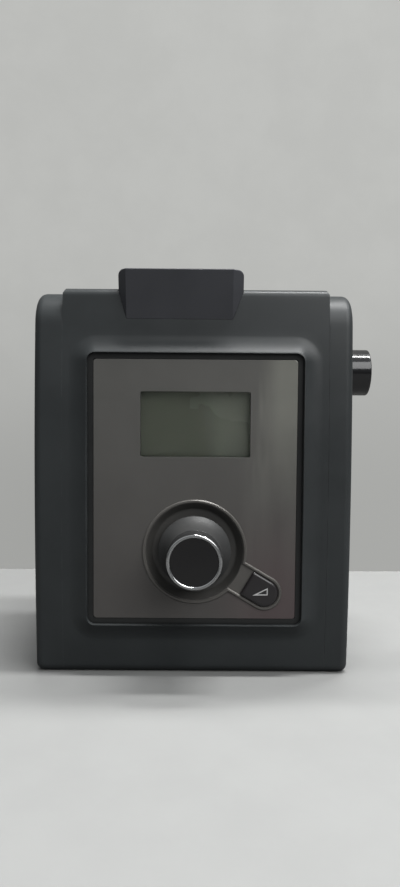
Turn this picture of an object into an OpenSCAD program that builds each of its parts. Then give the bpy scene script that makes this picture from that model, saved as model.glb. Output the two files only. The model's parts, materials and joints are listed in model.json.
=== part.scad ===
// Bedside breathing-therapy blower, standing on its lower end with the control face forward.
// +X is to the viewer's right, +Y runs away from the viewer, +Z is up. Millimetres.

/* [Body] */
// Height of the body standing on its lower end
body_h = 169; // [160:0.5:190]
// Width of the middle block between the two side covers
block_w = 115.5; // [112:0.5:135]
// Thickness of the fixed left side cover
left_cover_w = 12.4; // [9:0.1:18]
// Thickness of the removable right side cover
right_cover_w = 10.6; // [9:0.1:18]
// Distance from the origin forward to the crown of the face
front_depth = 34; // [32:0.5:40]
// Distance from the origin back to the slanted base at the lower end
low_depth = 30; // [28:0.5:36]
// Distance from the origin back to the slanted base at the upper end
high_depth = 68; // [62:0.5:76]
// Distance behind the origin of the joint between the front and base shells
split_y = 20; // [19:0.5:23]
// Wall thickness of the shells
wall = 2.5; // [2:0.1:3]
// Wall thickness of the side covers
cover_wall = 2.2; // [1.6:0.1:2.6]
// Radius of the face's gentle curve from the lower to the upper end
face_r = 1000; // [600:10:1400]
// Distance from the body's top down to the face's foremost line
crown_drop = 87; // [74:1:99]
// Radius of the face's lower edge
low_edge_r = 4; // [2:0.5:10]
// Radius of the middle block's upper front edge
high_edge_r = 3.5; // [2:0.5:6]
// Radius of the side covers' upper front edge
wing_edge_r = 15; // [8:0.5:20]
// How far the side covers' tops lie below the block's top
wing_drop = 0.8; // [0:0.1:2]
// Radius of the edges round the slanted base
back_edge_r = 4; // [2:0.5:6]
// Radius that rounds the side covers' outer edges
side_edge_r = 3.5; // [2:0.5:6]

/* [Control panel] */
// Distance from the panel to the side of the block
panel_side = 13.8; // [13.5:0.1:18]
// Distance from the panel's upper edge to the body's top
panel_top = 30.8; // [28:0.2:32]
// Height of the panel's lower edge
panel_z = 25.6; // [23:0.2:28]
// Thickness of the control panel
panel_t = 1.2; // [0.8:0.1:2]
// Width of the dark bezel round the panel
bezel_w = 3; // [2:0.1:4]
// How far the bezel lies behind the panel's face
bezel_drop = 0.4; // [0.2:0.1:0.8]
// How far the raised rim stands in front of the panel's face
rim_h = 2; // [1:0.1:3]
// Width of the rim's slope down to the face
slope_w = 7.5; // [5:0.5:8]
// Thickness of the floor under the panel
tray_t = 1.5; // [1.2:0.1:2]
// Width of the flange that holds the bezel from behind
flange_w = 2.2; // [1.5:0.1:3]
// Thickness of that flange
flange_t = 1.5; // [1.2:0.1:2]

/* [Display] */
// Width of the display's opening
view_w = 47.5; // [40:0.5:56]
// Height of the display's opening
view_h = 28.2; // [22:0.2:30]
// Distance from the panel's upper edge to the opening
view_drop = 13.8; // [12:0.2:16]
// How far the clear window runs under the panel on each side
lens_lap = 1.8; // [1.2:0.1:2.5]
// Thickness of the clear window
lens_t = 1.2; // [0.8:0.1:1.5]
// Thickness of the display glass
glass_t = 2.4; // [1.6:0.1:3]
// Thickness of the backlight block
backlight_t = 3; // [2:0.1:3.5]
// Width of the frame round the display glass
lcd_frame_w = 3; // [2:0.1:4]

/* [Dial] */
// Height of the dial's centre
dial_z = 55; // [52:0.5:58]
// Radius of the round dish in the panel
dish_r = 22.3; // [20:0.1:24]
// Depth of the dish behind the panel's face
dish_depth = 4; // [3:0.1:5]
// Wall thickness of the dish
dish_wall = 1.2; // [1:0.1:1.6]
// Radius of the wheel's flared foot
skirt_r = 16.1; // [14:0.1:18]
// Radius of the wheel's grip
grip_r = 11.5; // [9:0.1:13]
// How far the wheel stands in front of the panel
wheel_h = 21.5; // [12:0.5:22]
// Length of the straight grip behind the ring
grip_h = 6; // [3:0.5:9]
// Width of the bright ring on the wheel's end
ring_w = 1.7; // [1:0.1:2.5]
// Depth of the bright ring
ring_t = 1.6; // [1:0.1:2.5]
// How far the cap lies behind the ring's end
cap_drop = 0.5; // [0.2:0.1:1]
// Radius of the encoder's shaft
shaft_r = 3; // [2.5:0.1:3.2]
// How far the wheel presses in
wheel_travel = 0.8; // [0.4:0.1:1]

/* [Ramp button] */
// Angle of the button's axis below the horizontal
ramp_angle = 30.5; // [25:0.5:36]
// Distance from the dial's centre to the button's straight edge
ramp_in = 26.4; // [25:0.1:29]
// Distance from the button's surround to the panel's side edge
ramp_side = 6.3; // [3:0.1:8]
// Half width of the button and radius of its round end
ramp_r = 5.9; // [5:0.1:6.5]
// Bright margin round the button
ramp_margin = 1.15; // [0.8:0.05:1.6]
// How far the button stands in front of the panel
ramp_proud = 1.6; // [1:0.1:2.5]
// How far the button presses in
ramp_travel = 0.6; // [0.3:0.1:0.8]
// Height of the raised wedge mark on the button
mark_h = 0.12; // [0.1:0.02:0.3]

/* [Outlet] */
// Distance of the outlet's axis behind the origin
port_y = 4.2; // [3:0.1:5]
// Distance from the body's top down to the outlet's axis
port_drop = 33.8; // [33:0.2:39]
// Outer radius of the outlet port
port_r = 11; // [10:0.1:11.5]
// Width of the shoulder at the root of the port's free end
port_step = 0.5; // [0.3:0.1:0.8]
// Inner radius of the outlet port
port_bore_r = 9.2; // [8:0.1:9.4]
// How far the port stands out of the right cover
port_out = 14.4; // [10:0.2:20]
// Radius of the flange behind the shell's wall
port_flange_r = 13.6; // [13:0.1:14.5]
// Length of the ribbed boot between the blower and the port
boot_len = 24; // [20:0.5:26]
// Wall thickness of the boot
boot_wall = 1.5; // [1:0.1:2]

/* [Blower] */
// Distance of the volute's centre left of the origin
blower_x = 12; // [10:0.5:14]
// Room between the volute's inside and the block's side wall
volute_side = 20; // [19:0.5:22]
// Wall thickness of the blower's housings
volute_wall = 2; // [1.5:0.1:2.2]
// Inner radius of the volute's outlet
stub_r = 9; // [8:0.1:9.2]
// Room between the impeller and the volute's inside
impeller_gap = 11; // [9:0.5:14]
// Sideways offset of the impeller from the volute's centre
eccentric_x = 4; // [2:0.5:5]
// Upward offset of the impeller from the volute's centre
eccentric_z = 5; // [2:0.5:6]
// Height of the impeller's blades
blade_h = 10.5; // [7:0.5:12]
// Number of impeller blades
blade_count = 11; // [7:1:15]
// Radius of the inlet eye
eye_r = 12; // [10:0.5:14]
// Height of the lip round the inlet eye
eye_lip = 3.5; // [2:0.5:5]
// How far the motor's case stays inside the volute's radius
motor_in = 17; // [16:0.5:19]
// Depth of the motor's case
motor_t = 11; // [10:0.5:11.5]
// Radius of the motor's shaft
spindle_r = 2; // [1.5:0.1:2.5]
// Outer radius of the motor's bearings
bearing_r = 5; // [4.2:0.1:5.5]

/* [Card module] */
// Distance from the origin left to the module's left side
card_left = 33.7; // [30:0.1:36]
// Width of the module's head
card_w = 54.2; // [48:0.2:58]
// Height of the head above the body
card_top = 7.4; // [5:0.2:10]
// Height of the head's front below the body's upper end
card_drop = 13.2; // [11:0.2:14]
// How far the head's top stands in front of the face
card_proud = 6; // [5:0.5:10]
// Width of the slanted facet on the head's right
facet_w = 5; // [3:0.5:7]
// Depth of the module from front to back
card_depth = 17; // [14:0.5:17]
// Depth of the module's body below the body's upper end
card_len = 30; // [29:0.5:31]
// Width, thickness and length of the memory card
sd_w = 24; // [20:0.5:26]
// Thickness of the memory card
sd_t = 2.1; // [1.4:0.1:2.4]
// Length of the memory card
sd_len = 32; // [28:0.5:32]

/* [Air filter] */
// Distance from the origin left to the filter opening's left side
filter_left = 46; // [40:0.5:48]
// Width of the filter opening
filter_w = 60; // [50:0.5:62]
// Distance of the filter opening behind the shells' joint
filter_set = 7; // [5:0.5:9]
// Depth of the filter opening from front to back
filter_d = 30; // [24:0.5:32]
// Thickness of the filter door
door_t = 3.2; // [2.6:0.1:4]
// Thickness of the grey foam filter
foam_t = 8; // [5:0.5:9]
// Thickness of the white fine filter
fine_t = 3; // [1.5:0.5:3]

/* [Power inlet] */
// Distance of the inlet from the block's side wall
inlet_side = 23; // [22:0.5:26]
// Distance of the inlet behind the shells' joint
inlet_set = 20; // [17:0.5:22]
// Radius of the inlet's body
inlet_r = 6.5; // [6:0.1:7]
// Radius of the inlet's guide
guide_r = 4; // [3.5:0.1:4.5]
// Depth of the guide in front of the contact pin
guide_len = 3; // [2.5:0.1:4]
// Depth of the whole socket
socket_len = 12; // [10:0.5:14]
// Radius of the contact pin
pin_r = 1.25; // [1:0.05:1.5]

/* [Boards] */
// Thickness of the circuit boards
board_t = 1.6; // [1:0.1:2]
// Distance of the user board behind the panel's face
user_set = 12; // [11.6:0.1:12.4]
// Distance of the main board behind the origin
main_y = 8; // [7:0.5:9]
// Height of the main board's lower edge
main_z = 17; // [16:0.5:19]
// Room between the main board and the blower
main_gap = 3.2; // [3:0.2:6]

/* [Fasteners] */
// Radius of the case screws
screw_r = 1.5; // [1.2:0.1:1.8]
// Radius of the case screws' heads
head_r = 2.8; // [2.4:0.1:3]
// Thickness of the screws' heads
head_t = 2; // [1.6:0.1:2.4]
// Distance of the case screws from the middle block's sides
screw_set = 8.5; // [8:0.5:9.5]
// Height of the lower case screws
screw_low = 9.5; // [9:0.5:11]
// Radius of the screw posts
post_r = 4.7; // [4.2:0.1:5]

/* [Feet] */
// Radius of the rubber feet
foot_r = 7; // [5:0.5:9]
// How far the feet stand out of the base
foot_h = 1.4; // [1:0.1:2]
// Depth of the feet's recesses
foot_sink = 0.8; // [0.5:0.1:1]
// Distance of the feet from the middle line
foot_x = 42; // [36:0.5:44]
// Distance of the feet from the base's ends
foot_set = 30; // [26:0.5:34]

/* [Clearances] */
// Gap between pieces that move past each other
gap = 0.35; // [0.3:0.05:0.5]
// Gap round a fixed piece in its seat
seat = 0.1; // [0.05:0.05:0.2]
// Radial clearance of shafts that turn
run = 0.04; // [0.02:0.01:0.08]

/* [Hidden] */
$fn = 64;
ARC_STEPS = 6;
FACE_STEPS = 14;
HUGE = 400;

tilt = atan((high_depth - low_depth) / body_h);
crown_z = body_h - crown_drop;
face_y = -front_depth;
rim_y = face_y - rim_h;
half_block = block_w / 2;
half_inside = half_block - wall;
right_x = half_block + right_cover_w;
cover_x = half_block + gap;

panel_w = block_w - 2 * panel_side;
panel_h = body_h - panel_z - panel_top;
panel_mid_z = panel_z + panel_h / 2;
floor_y = face_y + panel_t;
flange_y = floor_y + tray_t;
tray_back_y = flange_y + flange_t;
user_y = face_y + user_set;
user_back_y = user_y + board_t;
board_gap = 0.8;
user_w = 2 * (half_inside - board_gap);
user_trim = 8;
user_h = panel_h - user_trim;
user_z = panel_z + 1.2;
user_post_r = 2.6;
user_screw_x = half_inside - user_post_r - 1;
user_screw_in = 3.8;

view_z = panel_z + panel_h - view_drop - view_h;
view_mid_z = view_z + view_h / 2;
glass_lap = 3;
glass_w = view_w + 2 * glass_lap;
glass_h = view_h + 2 * glass_lap;

dish_floor_y = face_y + dish_depth;
wheel_y = face_y - wheel_h;
skirt_gap = 1.2;
skirt_edge = 1;
skirt_y = face_y - skirt_gap;
shaft_sink = 2;
encoder_floor = 0.8;
plunger_len = 1.2;
grip_y = wheel_y + ring_t;
neck_y = grip_y + grip_h;
collar_r = shaft_r + 1.5;
bush_r = shaft_r + 1;
rim_flat = 0.4;
rim_w = slope_w / 3;
rim_corner_r = 2.6;
bush_y = dish_floor_y - 0.6;
encoder_w = 13;
encoder_t = 5;
encoder_y = user_y - encoder_t;
plunger_end = user_y - encoder_floor - wheel_travel - gap;
shaft_end = plunger_end - plunger_len;
scoop_x = skirt_r - grip_r;
scoop_y = skirt_y - neck_y;
scoop_r = (scoop_x * scoop_x + scoop_y * scoop_y) / (2 * scoop_x);

ramp_far = (panel_w / 2 - ramp_side - ramp_r - ramp_margin) / cos(ramp_angle);
ramp_len = ramp_far - ramp_in;
ramp_top_y = face_y - ramp_proud;
ramp_t = 2.6;
switch_t = 4.3;
switch_w = 6;
plunger_r = 1.7;
plunger_t = 0.9;
switch_y = user_y - switch_t;
ramp_x = (ramp_in + ramp_far + ramp_r) / 2 * cos(ramp_angle);
ramp_z = dial_z - (ramp_in + ramp_far + ramp_r) / 2 * sin(ramp_angle);

port_z = body_h - port_drop;
port_end = right_x + port_out;
port_reach = 14;
port_in = half_inside - port_reach;
port_flange_t = 2;
port_root_r = port_r + port_step;
boot_gap = 8;
stub_out = port_in - boot_gap;
boot_x = (stub_out + port_in - boot_len) / 2;

volute_r = half_inside - volute_side;
impeller_r = volute_r - impeller_gap;
motor_r = volute_r - motor_in;
volute_z = port_z - volute_r + stub_r;
volute_front = port_y - stub_r - volute_wall;
volute_back = port_y + stub_r + volute_wall;
volute_out = volute_r + volute_wall;
axle_x = -blower_x + eccentric_x;
axle_z = volute_z + eccentric_z;
motor_y = volute_front - motor_t;
motor_wall = 1.2;
bearing_t = volute_wall;
plate_gap = 0.9;
plate_y = volute_front + volute_wall + plate_gap;
plate_t = 1.2;
hub_r = 5.5;
hub_h = 6;
rotor_r = 10;
rotor_gap = 1.5;
lug_r = 5;
lug_t = 3;
mount_t = 5;
mount_r = 4.5;
lug_y = port_y;
lug_far = volute_out + lug_r + 0.2;
lugs = [for (a = [149, 211, 324])
    [lug_far * cos(a) - blower_x, lug_far * sin(a) + volute_z]];
lug_post_r = 4;

card_mid = card_w / 2 - card_left;
card_side = 3;
card_body_w = card_w - 2 * card_side;
card_head_z = body_h + card_top;
card_split_z = body_h - card_drop;
card_front_y = face_at(card_split_z);
card_lip_y = face_at(body_h) - card_proud;
card_skin = 1;
facet_d = face_at(body_h - 1) - card_lip_y;
card_inner_y = face_at(card_split_z) + wall + card_skin;
card_back_y = card_inner_y + card_depth;
card_low_z = body_h - card_len;
bay_wall = 1.2;
sd_sink = 1;
sd_top = card_head_z - sd_sink;
contact_w = 22;
contact_t = 2.4;
contact_h = 3;
sd_y = card_inner_y + card_depth / 2;

filter_mid = filter_w / 2 - filter_left;
filter_y = split_y + filter_set;
filter_wall = 1.5;
door_z = body_h - door_t;
foam_z = door_z - gap - foam_t;
fine_z = foam_z - fine_t;
grille_t = 2;

inlet_x = half_inside - inlet_side;
inlet_y = split_y + inlet_set;
socket_r = guide_r - 0.4;

main_w = 2 * (half_inside - 2 * board_gap);
main_h = volute_z - volute_out - main_gap - main_z;
main_back_y = main_y + board_t;
can_r = 5;
can_h = 12;
can_xs = [-12, 2];
can_set = 14;
chip_t = 2;
chips = [[24, 12, 14], [-30, 9, 12]];
ribbon_w = 28;
ribbon_t = 0.4;
ribbon_set = 6;
lead_r = 1.6;
main_post_x = half_inside - 9;
main_post_in = 4;

screw_x = half_block - screw_set;
screw_high = body_h - screw_low - 1;
screw_floor = 3;
screw_seat_y = split_y + screw_floor;
pilot_depth = 13;
small_r = 1.2;
small_head_r = 2.2;
small_head_t = 1.5;
small_len = 6;

tongue_w = 10;
tongue_t = 2;
tongue_len = 6;
tongue_high = 28;
tongues = [[-16, body_h - tongue_high], [-16, 30], [0, 22],
    [split_y + 20, body_h - 59]];

tab_w = 9;
tab_len = 16;
tab_t = 3;
tab_x = half_inside - 2 - tab_w / 2;
tab_s = 96;

connector_y = -2;
connector_z = 66;
connector_d = 12;
connector_h = 24;
connector_slot = 3;
connector_w = 12;
connector_out = 4;
connector_in = 2;

// ---- Shapes shared by several pieces ----

function face_at(z) = face_y + face_r - sqrt(face_r * face_r - (z - crown_z) * (z - crown_z));
function back_at(z) = low_depth + z * tan(tilt);
function unit(v) = v / norm(v);
function turned(v, a) = [v.x * cos(a) - v.y * sin(a), v.x * sin(a) + v.y * cos(a)];

// Arc of radius r that rounds the corner p between its neighbours a and b
function corner(a, p, b, r) =
    let (u = unit(a - p), v = unit(b - p), half = acos(u * v) / 2,
        centre = p + unit(u + v) * r / sin(half),
        from = p + u * r / tan(half) - centre,
        turn = (180 - 2 * half) * sign(cross(from, p - centre)))
    [for (i = [0 : ARC_STEPS]) centre + turned(from, turn * i / ARC_STEPS)];

// Side outline in y and z, drawn in by inset, with its four corner radii
function side_outline(inset, low_r, high_r, rear_r, top = body_h) =
    let (shift = inset / cos(tilt), low = inset, high = top - inset,
        low_front = [face_at(low) + inset, low], high_front = [face_at(high) + inset, high],
        high_back = [back_at(high) - shift, high], low_back = [back_at(low) - shift, low],
        z0 = low + max(low_r, 1) + 1, z1 = high - max(high_r, 1) - 1,
        face = [for (i = [0 : FACE_STEPS]) let (z = z0 + (z1 - z0) * i / FACE_STEPS)
            [face_at(z) + inset, z]])
    concat(corner(low_back, low_front, face[0], low_r), face,
        corner(face[FACE_STEPS], high_front, high_back, high_r),
        corner(high_front, high_back, low_back, rear_r),
        corner(high_back, low_back, low_front, rear_r));

module side_slab(x0, x1, inset, low_r, high_r, rear_r) {
    translate([x0, 0, 0]) rotate([90, 0, 90]) linear_extrude(x1 - x0)
        polygon(side_outline(inset, low_r, high_r, rear_r));
}

// Solid through rings of equally many points, each clockwise as seen from the last ring's end
module loft(rings) {
    n = len(rings[0]);
    last = len(rings) - 1;
    sides = [for (i = [0 : last - 1], j = [0 : n - 1]) let (k = (j + 1) % n)
        [i * n + j, i * n + k, (i + 1) * n + k, (i + 1) * n + j]];
    polyhedron([for (ring = rings, p = ring) p],
        concat([[for (j = [n - 1 : -1 : 0]) j]], sides, [[for (j = [0 : n - 1]) last * n + j]]));
}

// Round lead of radius r along a path
module lead(path, r, sides = 8) {
    last = len(path) - 1;
    loft([for (i = [0 : last])
        let (ahead = path[min(i + 1, last)] - path[min(i, last - 1)],
            behind = path[max(i, 1)] - path[max(i - 1, 0)], way = unit(unit(ahead) + unit(behind)),
            u = unit(cross([1, 0, 0], way)), v = cross(way, u),
            wide = 1 / sqrt((1 + unit(ahead) * unit(behind)) / 2))
        [for (a = [0 : 360 / sides : 359]) path[i] + r * (wide * u * cos(a) - v * sin(a))]]);
}

// A flat shape drawn in x and z, reaching from y0 back to y1
module along_y(y0, y1) {
    translate([0, y1, 0]) rotate([90, 0, 0]) linear_extrude(y1 - y0) children();
}

// A round bar along Y
module rod_y(r, y0, y1, x = 0, z = 0) {
    translate([x, y1, z]) rotate([90, 0, 0]) cylinder(r = r, h = y1 - y0);
}

// A round bar along X
module rod_x(r, x0, x1, y = 0, z = 0) {
    translate([x0, y, z]) rotate([0, 90, 0]) cylinder(r = r, h = x1 - x0);
}

// A box given by its middle x, its y range and its z range
module box(x, w, y0, y1, z0, z1) {
    translate([x - w / 2, y0, z0]) cube([w, y1 - y0, z1 - z0]);
}

// A rectangle with round corners about the point x, z
module round_rect(w, h, r, x = 0, z = 0) {
    translate([x, z]) {
        square([w - 2 * r, h], center = true);
        square([w, h - 2 * r], center = true);
        for (i = [-1, 1], k = [-1, 1])
            translate([i * (w / 2 - r), k * (h / 2 - r)]) circle(r);
    }
}

// Places its children on the slanted base, s along it from the lower end, Z pointing out
module on_base(x, s) {
    translate([x, low_depth + s * sin(tilt), s * cos(tilt)])
        rotate([-90 - tilt, 0, 0]) children();
}

// Everything on one side of the shells' joint
module front_half() {
    intersection() { children(); box(0, HUGE, -HUGE, split_y, -HUGE, HUGE); }
}
module back_half() {
    intersection() { children(); box(0, HUGE, split_y, HUGE, -HUGE, HUGE); }
}

module block_form(inset) {
    reach = half_block - inset;
    side_slab(-reach, reach, inset, max(low_edge_r - inset, 1), max(high_edge_r - inset, 1),
        max(back_edge_r - inset, 1));
}

module at_screws() {
    for (x = [-screw_x, screw_x], z = [screw_low, screw_high]) translate([x, 0, z]) children();
}

module at_user_screws() {
    for (x = [-user_screw_x, user_screw_x], z = [user_z + user_screw_in,
        user_z + user_h - user_screw_in]) translate([x, 0, z]) children();
}

module at_main_screws() {
    for (x = [-main_post_x, main_post_x], z = [main_z + main_post_in,
        main_z + main_h - main_post_in]) translate([x, 0, z]) children();
}

module at_feet() {
    base_len = body_h / cos(tilt);
    for (x = [-foot_x, foot_x], s = [foot_set, base_len - foot_set]) on_base(x, s) children();
}

module at_lugs() {
    for (p = lugs) translate([p.x, 0, p.y]) children();
}

// Slots in the middle block's sides for the side covers' tongues
module tongue_slots() {
    for (side = [-1, 1], t = tongues)
        box(side * half_block, 4 * wall, t.x - tongue_t / 2 - gap, t.x + tongue_t / 2 + gap,
            t.y - tongue_w / 2 - gap, t.y + tongue_w / 2 + gap);
}

// Outline of the round dish with its arm for the ramp button, grown by grow
module keyhole(grow) {
    circle(dish_r + grow);
    rotate(-ramp_angle) {
        translate([0, -ramp_r - ramp_margin - grow])
            square([ramp_far, 2 * (ramp_r + ramp_margin + grow)]);
        translate([ramp_far, 0]) circle(ramp_r + ramp_margin + grow);
    }
}

// Outline of the ramp button, grown by grow
module ramp_outline(grow) {
    rotate(-ramp_angle) {
        translate([ramp_in - grow, -ramp_r - grow])
            square([ramp_len + grow, 2 * (ramp_r + grow)]);
        translate([ramp_far, 0]) circle(ramp_r + grow);
    }
}

// ---- Shells and covers ----

module rim_slice(y, grow) {
    edge = bezel_w + rim_flat;
    along_y(y, y + 0.01) translate([0, panel_mid_z])
        round_rect(panel_w + 2 * (edge + grow), panel_h + 2 * (edge + grow),
            rim_corner_r + grow, $fn = 32);
}

module plateau() {
    hull() { rim_slice(rim_y, 0); rim_slice(rim_y + rim_h, rim_w); }
    hull() { rim_slice(rim_y + rim_h, rim_w); rim_slice(face_y + 3, slope_w); }
}

module head_outline(grow) {
    x0 = -card_left;
    x1 = card_w - card_left;
    low = card_split_z - grow;
    polygon([[x0 + facet_w - grow, low], [x1 - facet_w + grow, low], [x1 + grow, body_h - 1],
        [x1 + grow, HUGE], [x0 - grow, HUGE], [x0 - grow, body_h - 1]]);
}

module card_notch() {
    along_y(-HUGE, card_inner_y) head_outline(gap);
    box(card_mid, card_body_w + 2 * gap, card_inner_y - 1, card_back_y + gap,
        card_split_z - gap, HUGE);
}

module front_shell() color([0.2, 0.21, 0.22]) {
    difference() {
        union() {
            front_half() difference() {
                union() { block_form(0); plateau(); }
                block_form(wall);
            }
            front_half() intersection() {
                at_screws() rod_y(post_r, -HUGE, split_y);
                block_form(wall / 2);
            }
            intersection() {
                at_user_screws() rod_y(user_post_r, -HUGE, user_y);
                block_form(wall / 2);
            }
        }
        along_y(-HUGE, flange_y + 0.01) round_rect(panel_w + 2 * (bezel_w + seat),
            panel_h + 2 * (bezel_w + seat), 2, 0, panel_mid_z);
        along_y(flange_y, user_y - 1) round_rect(panel_w + 2 * (bezel_w + flange_w + seat),
            panel_h + 2 * (bezel_w + flange_w + seat), 2, 0, panel_mid_z);
        card_notch();
        rod_x(port_root_r + seat, 0, HUGE, port_y, port_z);
        box(half_block, 4 * wall, connector_y - connector_d / 2 - seat,
            connector_y + connector_d / 2 + seat, connector_z - connector_h / 2 - seat,
            connector_z + connector_h / 2 + seat);
        tongue_slots();
        at_screws() rod_y(screw_r + seat / 2, screw_seat_y - pilot_depth, HUGE);
        at_user_screws() rod_y(small_r + seat / 2, user_y - small_len, HUGE);
    }
}

module filter_box(grow) {
    box(filter_mid, filter_w + 2 * grow, filter_y - grow, filter_y + filter_d + grow,
        fine_z - grille_t - (grow > 0 ? 0 : 1), body_h - (grow > 0 ? wall / 2 : -1));
}

module base_shell() color([0.17, 0.18, 0.19]) {
    difference() {
        union() {
            back_half() difference() { block_form(0); block_form(wall); }
            back_half() intersection() {
                union() {
                    at_screws() rod_y(post_r, split_y, HUGE);
                    filter_box(filter_wall);
                }
                block_form(wall / 2);
            }
            intersection() {
                union() {
                    at_main_screws() rod_y(2.8, main_back_y, HUGE);
                    at_lugs() rod_y(lug_post_r, lug_y + lug_t + mount_t, HUGE);
                }
                block_form(wall / 2);
            }
            back_half() intersection() {
                at_feet() translate([0, 0, -foot_sink - wall]) cylinder(r = foot_r + 2, h = wall);
                block_form(wall / 2);
            }
        }
        filter_box(0);
        at_screws() {
            rod_y(screw_r + seat, 0, HUGE);
            rod_y(head_r + gap, screw_seat_y, HUGE);
        }
        at_main_screws() rod_y(small_r + seat / 2, main_y, main_y + small_len + board_t);
        at_lugs() rod_y(small_r + seat / 2, 0, lug_y + lug_t + mount_t + 9);
        at_feet() translate([0, 0, -foot_sink]) cylinder(r = foot_r + seat, h = HUGE);
        translate([inlet_x, inlet_y, body_h - 2 * wall])
            cylinder(r = inlet_r + seat, h = 3 * wall);
        tongue_slots();
        on_base(tab_x, tab_s)
            translate([-tab_w / 2 - gap, -tab_len / 2 - gap, -3 * wall])
                cube([tab_w + 2 * gap, tab_len + 2 * gap, 6 * wall]);
    }
}

// Form of a side cover of thickness t on the right, drawn in by inset, its outer edges rounded
module cover_form(x_in, t, inset) {
    round_to = max(side_edge_r - inset, 1);
    cuts = [for (a = [90 : -22.5 : 0])
        [x_in + t - inset - round_to * (1 - cos(a)), inset + round_to * (1 - sin(a))]];
    loft([for (c = concat([[x_in - (inset > 0 ? 1 : 0), inset]], cuts))
        [for (p = side_outline(c.y, max(low_edge_r - c.y, 1), max(wing_edge_r - c.y, 1),
            max(back_edge_r - c.y, 0.5), body_h - wing_drop)) [c.x, p.x, p.y]]]);
}

module cover_shell(x_in, t) {
    difference() {
        cover_form(x_in, t, 0);
        cover_form(x_in, t, cover_wall);
    }
    for (p = tongues)
        box(x_in + (t - cover_wall / 2 - tongue_len) / 2, t - cover_wall / 2 + tongue_len,
            p.x - tongue_t / 2, p.x + tongue_t / 2, p.y - tongue_w / 2, p.y + tongue_w / 2);
}

module left_side_cover() color([0.18, 0.19, 0.19])
    mirror([1, 0, 0]) cover_shell(half_block, left_cover_w);

module right_side_cover() color([0.19, 0.2, 0.21]) {
    difference() {
        cover_shell(cover_x, right_cover_w - gap);
        rod_x(port_root_r + 2 * gap, 0, HUGE, port_y, port_z);
    }
}

// ---- Control panel, display and dial ----

module panel_bezel() color([0.14, 0.14, 0.15]) {
    difference() {
        translate([0, 0, panel_mid_z]) {
            along_y(face_y + bezel_drop, flange_y + 0.001)
                round_rect(panel_w + 2 * bezel_w, panel_h + 2 * bezel_w, 1.9);
            along_y(flange_y, tray_back_y) round_rect(panel_w + 2 * (bezel_w + flange_w),
                panel_h + 2 * (bezel_w + flange_w), 1.9);
        }
        box(0, panel_w + 2 * seat, -HUGE, floor_y, panel_z - seat, panel_z + panel_h + seat);
        box(0, view_w + 2 * (lens_lap + seat), floor_y - 1, floor_y + lens_t,
            view_z - lens_lap - seat, view_z + view_h + lens_lap + seat);
        box(0, view_w, floor_y, 0, view_z, view_z + view_h);
        translate([0, 0, dial_z]) along_y(floor_y - 1, 0) keyhole(seat);
    }
}

module control_panel() color([0.55, 0.54, 0.51]) {
    along_y(face_y, floor_y) difference() {
        round_rect(panel_w, panel_h, 0.8, 0, panel_mid_z);
        round_rect(view_w, view_h, 0.8, 0, view_mid_z);
        translate([0, dial_z]) keyhole(seat);
    }
}

module display_window() color([0.45, 0.48, 0.44, 0.35]) {
    box(0, view_w + 2 * lens_lap, floor_y, floor_y + lens_t, view_z - lens_lap,
        view_z + view_h + lens_lap);
}

module lcd_glass() color([0.42, 0.45, 0.38]) {
    box(0, glass_w, tray_back_y, tray_back_y + glass_t, view_mid_z - glass_h / 2,
        view_mid_z + glass_h / 2);
}

module lcd_backlight() color([0.85, 0.87, 0.8]) {
    box(0, glass_w, tray_back_y + glass_t, tray_back_y + glass_t + backlight_t,
        view_mid_z - glass_h / 2, view_mid_z + glass_h / 2);
}

module lcd_frame() color([0.12, 0.12, 0.13]) {
    difference() {
        box(0, glass_w + 2 * lcd_frame_w, tray_back_y, user_y,
            view_mid_z - glass_h / 2 - lcd_frame_w, view_mid_z + glass_h / 2 + lcd_frame_w);
        box(0, glass_w + 2 * seat, -HUGE, tray_back_y + glass_t + backlight_t,
            view_mid_z - glass_h / 2 - seat, view_mid_z + glass_h / 2 + seat);
    }
}

module user_board() color([0.08, 0.3, 0.16]) {
    difference() {
        box(0, user_w, user_y, user_back_y, user_z, user_z + user_h);
        at_user_screws() rod_y(small_r + seat, user_y - 1, user_back_y + 1);
    }
}

// Arm of the dish that holds the ramp button
module arm(grow) {
    rotate(-ramp_angle) {
        translate([dish_r - 4, -ramp_r - ramp_margin - grow])
            square([ramp_far - dish_r + 4, 2 * (ramp_r + ramp_margin + grow)]);
        translate([ramp_far, 0]) circle(ramp_r + ramp_margin + grow);
    }
}

// Dish about the dial's axis with the button's arm, one moulding
module dial_dish() color([0.5, 0.49, 0.47]) {
    bead = 0.4;
    back_y = tray_back_y + dish_wall;
    top_r = dish_r - 0.9;
    translate([0, 0, dial_z]) difference() {
        union() {
            along_y(face_y - bead, back_y) keyhole(0);
            along_y(tray_back_y, back_y) keyhole(1.6);
        }
        rotate([-90, 0, 0]) rotate_extrude() polygon([[0, face_y - 1], [top_r, face_y - 1],
            [top_r, face_y], [top_r - 2.6, dish_floor_y], [0, dish_floor_y]]);
        along_y(face_y - 1, face_y + 0.6) arm(-0.7);
        along_y(face_y, back_y + 1) ramp_outline(gap);
        rod_y(bush_r + seat, face_y, back_y + 1);
    }
}

module encoder_body() color([0.25, 0.26, 0.28]) {
    translate([0, 0, dial_z]) difference() {
        union() {
            box(0, encoder_w, encoder_y, user_y, -encoder_w / 2, encoder_w / 2);
            rod_y(bush_r, bush_y, encoder_y + 1);
        }
        rod_y(shaft_r + run, bush_y - 1, user_y - encoder_floor);
    }
}

module encoder_plunger() color([0.9, 0.9, 0.85]) {
    rod_y(shaft_r, shaft_end + run, plunger_end, 0, dial_z);
}

module encoder_shaft() color([0.75, 0.75, 0.76]) {
    rod_y(shaft_r, grip_y + shaft_sink, shaft_end, 0, dial_z);
}

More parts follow.
